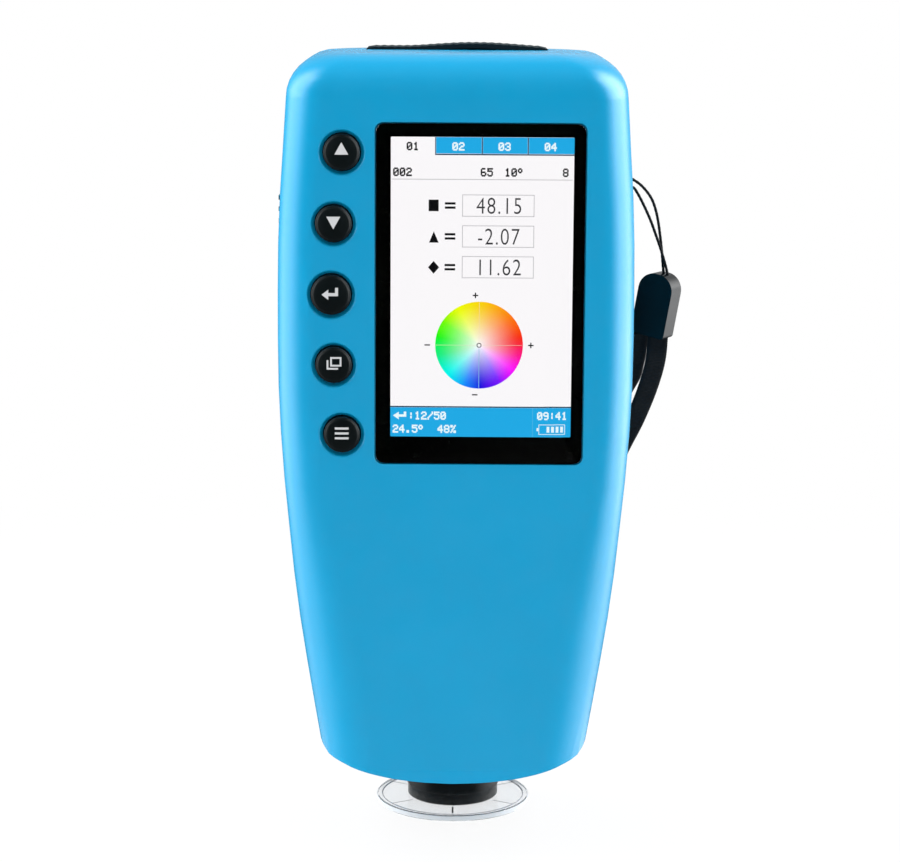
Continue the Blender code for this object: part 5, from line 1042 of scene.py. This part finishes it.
# The signs on the keys, as outlines in millimetres from the middle of a cap
KEY_SIGNS_MM = {
    "button_up": [((-1.75, -0.95), (1.75, -0.95), (0.0, 2.15))],
    "button_down": [((-1.75, 1.45), (0.0, -1.7), (1.75, 1.45))],
    "button_enter": [((-2.3, -0.3), (-0.6, -1.6), (-0.6, 1.0)), rectangle(-0.6, 1.85, -0.65, 0.15),
                     rectangle(1.1, 1.85, 0.15, 1.45)],
    "button_windows": [rectangle(-0.85, 2.0, 1.3, 1.75), rectangle(-0.85, 2.0, -0.65, -0.2),
                       rectangle(-0.85, -0.4, -0.2, 1.3), rectangle(1.55, 2.0, -0.2, 1.3),
                       rectangle(-1.75, -1.3, -1.45, 0.95), rectangle(-1.3, 1.15, -1.45, -1.0)],
    "button_menu": [rectangle(-1.75, 1.75, foot, top)
                    for foot, top in ((1.05, 1.6), (-0.2, 0.35), (-1.45, -0.9))],
}


def dome_profile(radius):
    """Crowned cap with a thin land and a round rim: (radius, height before the housing's face)."""
    profile = []
    for step in range(KEY_CROWN_STEPS + 1):
        share = step / KEY_CROWN_STEPS
        drop = (KEY_CROWN - KEY_LAND_HEIGHT) * share ** KEY_CROWN_POWER
        profile.append(((radius - KEY_LAND) * share, KEY_CROWN - drop))
    return profile + [(radius - inset * MM, height * MM) for inset, height in KEY_RIM_MM]


def dome_height(radius, distance):
    """Height of the crown at a distance from its middle."""
    profile = dome_profile(radius)
    for (r0, h0), (r1, h1) in zip(profile, profile[1:]):
        if distance <= r1:
            return h0 + (h1 - h0) * (distance - r0) / (r1 - r0)
    return 0.0


def make_keys(finishes):
    """A turned cap for each key and the sign on it."""
    for name, signs in KEY_SIGNS_MM.items():
        low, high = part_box(name)
        centre = ((low.x + high.x) / 2, BODY_FRONT_Y, (low.z + high.z) / 2)
        radius = ENTER_RADIUS if name == "button_enter" else KEY_RADIUS
        flange = (high.x - low.x) / 2
        back = BODY_FRONT_Y - high.y
        outline = dome_profile(radius) + [
            (radius, -KEY_SKIRT), (flange, -KEY_SKIRT), (flange, -KEY_FLANGE_BACK),
            (KEY_STEM_RADIUS, -KEY_FLANGE_BACK), (KEY_STEM_RADIUS, back), (0, back)]
        bm = bmesh.new()
        add_turned(bm, outline, centre, axis_y=True, steps=64)
        cap = link_mesh(name + "_cap", bm, finishes["key"], name + "_body", smooth_angle=38)
        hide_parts(name)
        bm = bmesh.new()
        for shape in signs:
            add_draped(bm, shape, centre, radius)
        sign = link_mesh(name + "_sign", bm, finishes["legend"], name + "_body")


def add_draped(bm, shape, centre, radius):
    """Add a thin sign that follows the cap's crown; shape is an outline in millimetres from its middle."""
    part = bmesh.new()
    part.faces.new([part.verts.new((x * MM, 0, z * MM + SIGN_RISE)) for x, z in shape])
    bmesh.ops.triangulate(part, faces=part.faces)
    bmesh.ops.subdivide_edges(part, edges=part.edges, cuts=2, use_grid_fill=True)
    top = {}
    foot = {}
    for vertex in part.verts:
        x, z = vertex.co.x, vertex.co.z
        surface = centre[1] - dome_height(radius, math.hypot(x, z))
        top[vertex] = bm.verts.new((centre[0] + x, surface - SIGN_STAND, centre[2] + z))
        foot[vertex] = bm.verts.new((centre[0] + x, surface + SIGN_SINK, centre[2] + z))
    for face in part.faces:
        bm.faces.new([top[v] for v in face.verts])
        bm.faces.new([foot[v] for v in reversed(face.verts)])
    for edge in part.edges:
        if len(edge.link_faces) == 1:
            first, second = edge.verts
            bm.faces.new((top[first], top[second], foot[second], foot[first]))
    part.free()


# Locating disc and small parts

DISC_THICK = 1.3 * MM
DISC_RADIUS = 20.7 * MM
# The pointer and the thin marks: their angles in degrees, start, end and width
POINTER = ((-90,), 12.4 * MM, 17.6 * MM, 0.45 * MM)
THIN_MARKS = ((-150, -30, 30, 90, 150), 12.6 * MM, 19.0 * MM, 0.2 * MM)
MARK_GAP = 0.002 * MM
MARK_HEIGHT = 0.05 * MM
# Rings of painted shade on the disc, a dark line at the foot of its rim and a grey band at its edge: inner
# and outer radius, foot and crest
RIM_FOOT_SHADE_RING = (DISC_RADIUS - 1.6 * MM, DISC_RADIUS - 1.35 * MM, DISC_THICK, DISC_THICK + 0.1 * MM)
EDGE_SHADE_RING = (DISC_RADIUS - 0.1 * MM, DISC_RADIUS + 0.03 * MM, 0.25 * MM, 1.4 * MM)


def make_disc_marks(finishes):
    """Radial marks on the locating disc, a dark line of painted shade at the foot of its rim and a grey
    band of painted shade round its edge.
    """
    make_marks("locating_disc_pointer", *POINTER, finishes["mark"])
    make_ring("locating_disc_rim_foot_shade", *RIM_FOOT_SHADE_RING, finishes["thin_mark_and_rim_shade"])
    make_ring("locating_disc_edge_shade_band", *EDGE_SHADE_RING, finishes["edge_shade"])
    make_marks("locating_disc_marks", *THIN_MARKS, finishes["thin_mark_and_rim_shade"])


def make_marks(name, angles, inner, outer, width, material):
    bm = bmesh.new()
    for degrees in angles:
        turn = Matrix.Rotation(math.radians(degrees), 4, "Z")
        corners = rectangle(inner, outer, -width / 2, width / 2)
        add_prism(bm, *([turn @ Vector((x, y, DISC_THICK + rise)) for x, y in corners]
                        for rise in (MARK_HEIGHT, MARK_GAP)))
    link_mesh(name, bm, material, "locating_disc_body")


def make_ring(name, inner, outer, foot, crest, material):
    bm = bmesh.new()
    add_turned(bm, rectangle(inner, outer, foot, crest), (0, 0, 0), steps=120)
    ring = link_mesh(name, bm, material, "locating_disc_body", smooth_angle=40)


TONGUE_WIDTH = 6.4 * MM
TONGUE_THICK = 0.7 * MM
TONGUE_INSET = 0.6 * MM
TONGUE_RIM = 0.12 * MM
CONTACTS = 8
CONTACT_PITCH = 0.72 * MM
CONTACT_WIDTH = 0.36 * MM
CONTACT_THICK = 0.06 * MM
CONTACT_FRONT = 2.5 * MM
CONTACT_BACK = 1.0 * MM


def make_socket_tongue(finishes):
    """The tongue in the charging socket, with contacts on its two faces."""
    low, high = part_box("usb_socket")
    middle = (low.z + high.z) / 2
    half = TONGUE_THICK / 2
    bm = bmesh.new()
    add_block(bm, -TONGUE_WIDTH / 2, TONGUE_WIDTH / 2, middle - half, middle + half, low.y + TONGUE_INSET,
              high.y - TONGUE_INSET)
    bevel(bm, bm.edges, TONGUE_RIM, segments=2)
    tongue = link_mesh("usb_socket_tongue", bm, finishes["black"], HOUSING, smooth_angle=35)
    bm = bmesh.new()
    for index in range(CONTACTS):
        x = (index - (CONTACTS - 1) / 2) * CONTACT_PITCH
        for z in (middle + half, middle - half - CONTACT_THICK):
            add_block(bm, x - CONTACT_WIDTH / 2, x + CONTACT_WIDTH / 2, z, z + CONTACT_THICK,
                      low.y + CONTACT_FRONT, high.y - CONTACT_BACK)
    link_mesh("usb_socket_contacts", bm, finishes["gold"], HOUSING)


# Folds sharper than this, in degrees, stay sharp
SHELL_CREASE = 20.0
CREASE = 32.0
# The CAD nodes that keep their shape; what isn't named here is a board or a screw
CAD_FINISHES = {
    "front_shell": "housing", "rear_shell": "housing", "battery_cover": "cover",
    "power_switch_knob": "cover", "test_button": "cover", "nozzle": "nozzle", "aperture_ring": "black",
    "locating_disc": "disc",
    "lcd_panel": "module", "keypad_mat": "rubber", "sphere_lower": "white", "sphere_upper": "white",
    "sensor_tube": "black", "optics_bracket": "sheet", "battery_pack": "sleeve",
    "battery_contact_1": "nickel", "battery_contact_2": "nickel", "usb_socket": "sheet",
    "strap_pin": "steel", "power_switch_body": "sheet", "test_switch": "black",
}


def dress_cad(finishes):
    """Give each CAD node that still shows its finish and a smooth surface."""
    for name, node in NODES.items():
        if node.hide_render:
            continue
        finish = CAD_FINISHES.get(name, "board" if name.endswith("_board") else "steel")
        node.data.materials.clear()
        node.data.materials.append(finishes[finish])
        smooth_cad(node, SHELL_CREASE if name.endswith("_shell") else CREASE)


# Light, world and floor

LAMP_TARGET = Vector((0, 0, 0.15))
# The lamps: name, place, width and height in metres, power in watts
LAMPS = (("lamp_left", (-0.8, 0.1, 0.6), 0.8, 1.4, 13.0), ("lamp_right", (0.8, 0.15, 0.6), 0.6, 1.4, 10.5))


def make_light():
    """Soft panel lamps for matt surfaces; gloss finds its light in the studio around instead."""
    for name, place, width, height, power in LAMPS:
        data = bpy.data.lights.new(name, "AREA")
        data.shape = "RECTANGLE"
        data.size = width
        data.size_y = height
        data.energy = power
        lamp = bpy.data.objects.new(name, data)
        bpy.context.scene.collection.objects.link(lamp)
        lamp.location = place
        lamp.rotation_euler = (LAMP_TARGET - Vector(place)).to_track_quat("-Z", "Y").to_euler()
        lamp.visible_glossy = False
        lamp.visible_transmission = False


# Brightness that gloss finds in a studio that is dark in front: panels to the left and right, weaker
# behind, stronger above the table, and a plain ceiling. Reaches are shares of a direction of length 1.
GLOSS_LEFT = 2.8
GLOSS_RIGHT = 5.5
GLOSS_CEILING = 0.22
SIDE_REACH = (-0.2, 0.2)
PANEL_START = (-0.78, -0.15)
PANEL_END = (0.25, 0.85)
PANEL_BEHIND = 0.06
PANEL_LIFT = 1.95
LIFT_REACH = (-0.05, 0.15)
CEILING_REACH = (0.8, 0.97)
# The soft light that matt surfaces get from all round, and more of it from above
FILL = 0.44
SKY = 0.6
SKY_REACH = (-0.1, 0.9)
# Light that passes through clear pieces finds white only behind the object, by direction and on the floor
BEHIND_REACH = (-0.2, 0.1)
FLOOR_BEHIND_REACH = (-0.3, -0.1)


def studio_gloss(graph, direction):
    """Brightness of the studio in a direction, as gloss finds it."""
    level = graph.unit(graph.vector_math("MULTIPLY", direction, (1, 1, 0))["Vector"])
    height = graph.unit(direction)["Z"]
    side = graph.mixed(graph.eased(level["X"], *SIDE_REACH, 0.0, 1.0), GLOSS_LEFT, GLOSS_RIGHT)
    start = graph.eased(level["Y"], *PANEL_START, 0.0, 1.0)
    end = graph.eased(level["Y"], *PANEL_END, 1.0, PANEL_BEHIND)
    lift = graph.eased(height, *LIFT_REACH, 1.0, PANEL_LIFT)
    ceiling = graph.eased(height, *CEILING_REACH, 0.0, 1.0)
    return graph.mixed(ceiling, graph.product(side, start, end, lift), GLOSS_CEILING)


def make_world():
    """White for the camera, a studio for gloss and a soft sky for matt surfaces."""
    world = bpy.data.worlds.new("studio")
    bpy.context.scene.world = world
    world.use_nodes = True
    world.node_tree.nodes.clear()
    graph = Graph(world.node_tree)
    rays = graph.node("ShaderNodeLightPath").outputs
    direction = graph.node("ShaderNodeTexCoord").outputs["Generated"]
    part = graph.apart(direction)
    gloss = graph.product(studio_gloss(graph, direction), rays["Is Glossy Ray"])
    matt = graph.product(graph.eased(part["Z"], *SKY_REACH, FILL, FILL + SKY), rays["Is Diffuse Ray"])
    through = graph.product(graph.eased(part["Y"], *BEHIND_REACH, 0.0, 1.0), rays["Is Transmission Ray"])
    total = graph.largest(gloss, matt, rays["Is Camera Ray"], through)
    background = graph.node("ShaderNodeBackground", {"Color": WHITE, "Strength": total})
    graph.node("ShaderNodeOutputWorld", {"Surface": background.outputs["Background"]})


# The floor lies just under the locating disc when that is pulled off
FLOOR_Z = -6.3 * MM
FLOOR_RADIUS = 6.0
FLOOR_SIDES = 96
FLOOR_COLOUR = (0.85, 0.85, 0.85, 1.0)
# How much of its own white the camera finds in the floor, from near the foot to far off
FLOOR_GLOW = 0.93
GLOW_REACH = (0.1, 0.45)
# What gloss finds in it: a little white near the foot, and the panels, dimmer near the foot
GLOSS_NEAR = 0.15
GLOSS_NEAR_REACH = (0.05, 0.3)
DIM_NEAR = 0.3
DIM_REACH = (0.05, 0.65)


def floor_material():
    """White that keeps a soft shadow for the camera, and mirrors the studio for gloss."""
    material = bpy.data.materials.new("floor_white")
    material.use_nodes = True
    material.node_tree.nodes.clear()
    graph = Graph(material.node_tree)
    rays = graph.node("ShaderNodeLightPath").outputs
    place = graph.node("ShaderNodeTexCoord").outputs["Object"]
    away = graph.vector_math("LENGTH", place)["Value"]
    behind = graph.eased(graph.apart(place)["Y"], *FLOOR_BEHIND_REACH, 0.0, 1.0)
    through = graph.product(rays["Is Transmission Ray"], behind)
    seen = graph.largest(rays["Is Camera Ray"], through)
    mirrored = graph.product(rays["Is Glossy Ray"], graph.math("SUBTRACT", 1.0, through))
    panels = graph.product(studio_gloss(graph, place), graph.eased(away, *DIM_REACH, DIM_NEAR, 1.0))
    near = graph.eased(away, *GLOSS_NEAR_REACH, GLOSS_NEAR, 0.0)
    matt = graph.node("ShaderNodeBsdfDiffuse", {"Color": FLOOR_COLOUR}).outputs["BSDF"]
    white = graph.node("ShaderNodeEmission", {"Strength": 1.0}).outputs["Emission"]
    gloss = graph.node("ShaderNodeEmission", {"Strength": graph.largest(panels, near)}).outputs["Emission"]
    glow = graph.product(seen, graph.eased(away, *GLOW_REACH, FLOOR_GLOW, 1.0))
    lower = graph.node("ShaderNodeMixShader", {0: glow, 1: matt, 2: white}).outputs["Shader"]
    upper = graph.node("ShaderNodeMixShader", {0: mirrored, 1: lower, 2: gloss}).outputs["Shader"]
    graph.node("ShaderNodeOutputMaterial", {"Surface": upper})
    return material


def make_floor():
    """A wide round white sheet under the object."""
    bm = bmesh.new()
    bmesh.ops.create_circle(bm, cap_ends=True, segments=FLOOR_SIDES, radius=FLOOR_RADIUS)
    mesh = bpy.data.meshes.new("floor")
    bm.to_mesh(mesh)
    bm.free()
    mesh.materials.append(floor_material())
    floor = bpy.data.objects.new("floor", mesh)
    floor.location.z = FLOOR_Z
    bpy.context.scene.collection.objects.link(floor)


def main():
    """Dress the part, then set the stage around it."""
    make_camera()
    finishes = make_finishes()
    make_strap(finishes)
    make_window(finishes)
    make_screen(finishes)
    make_keys(finishes)
    make_disc_marks(finishes)
    make_socket_tongue(finishes)
    dress_cad(finishes)
    make_floor()
    make_world()
    make_light()
    bpy.context.scene.view_settings.view_transform = "Standard"


main()
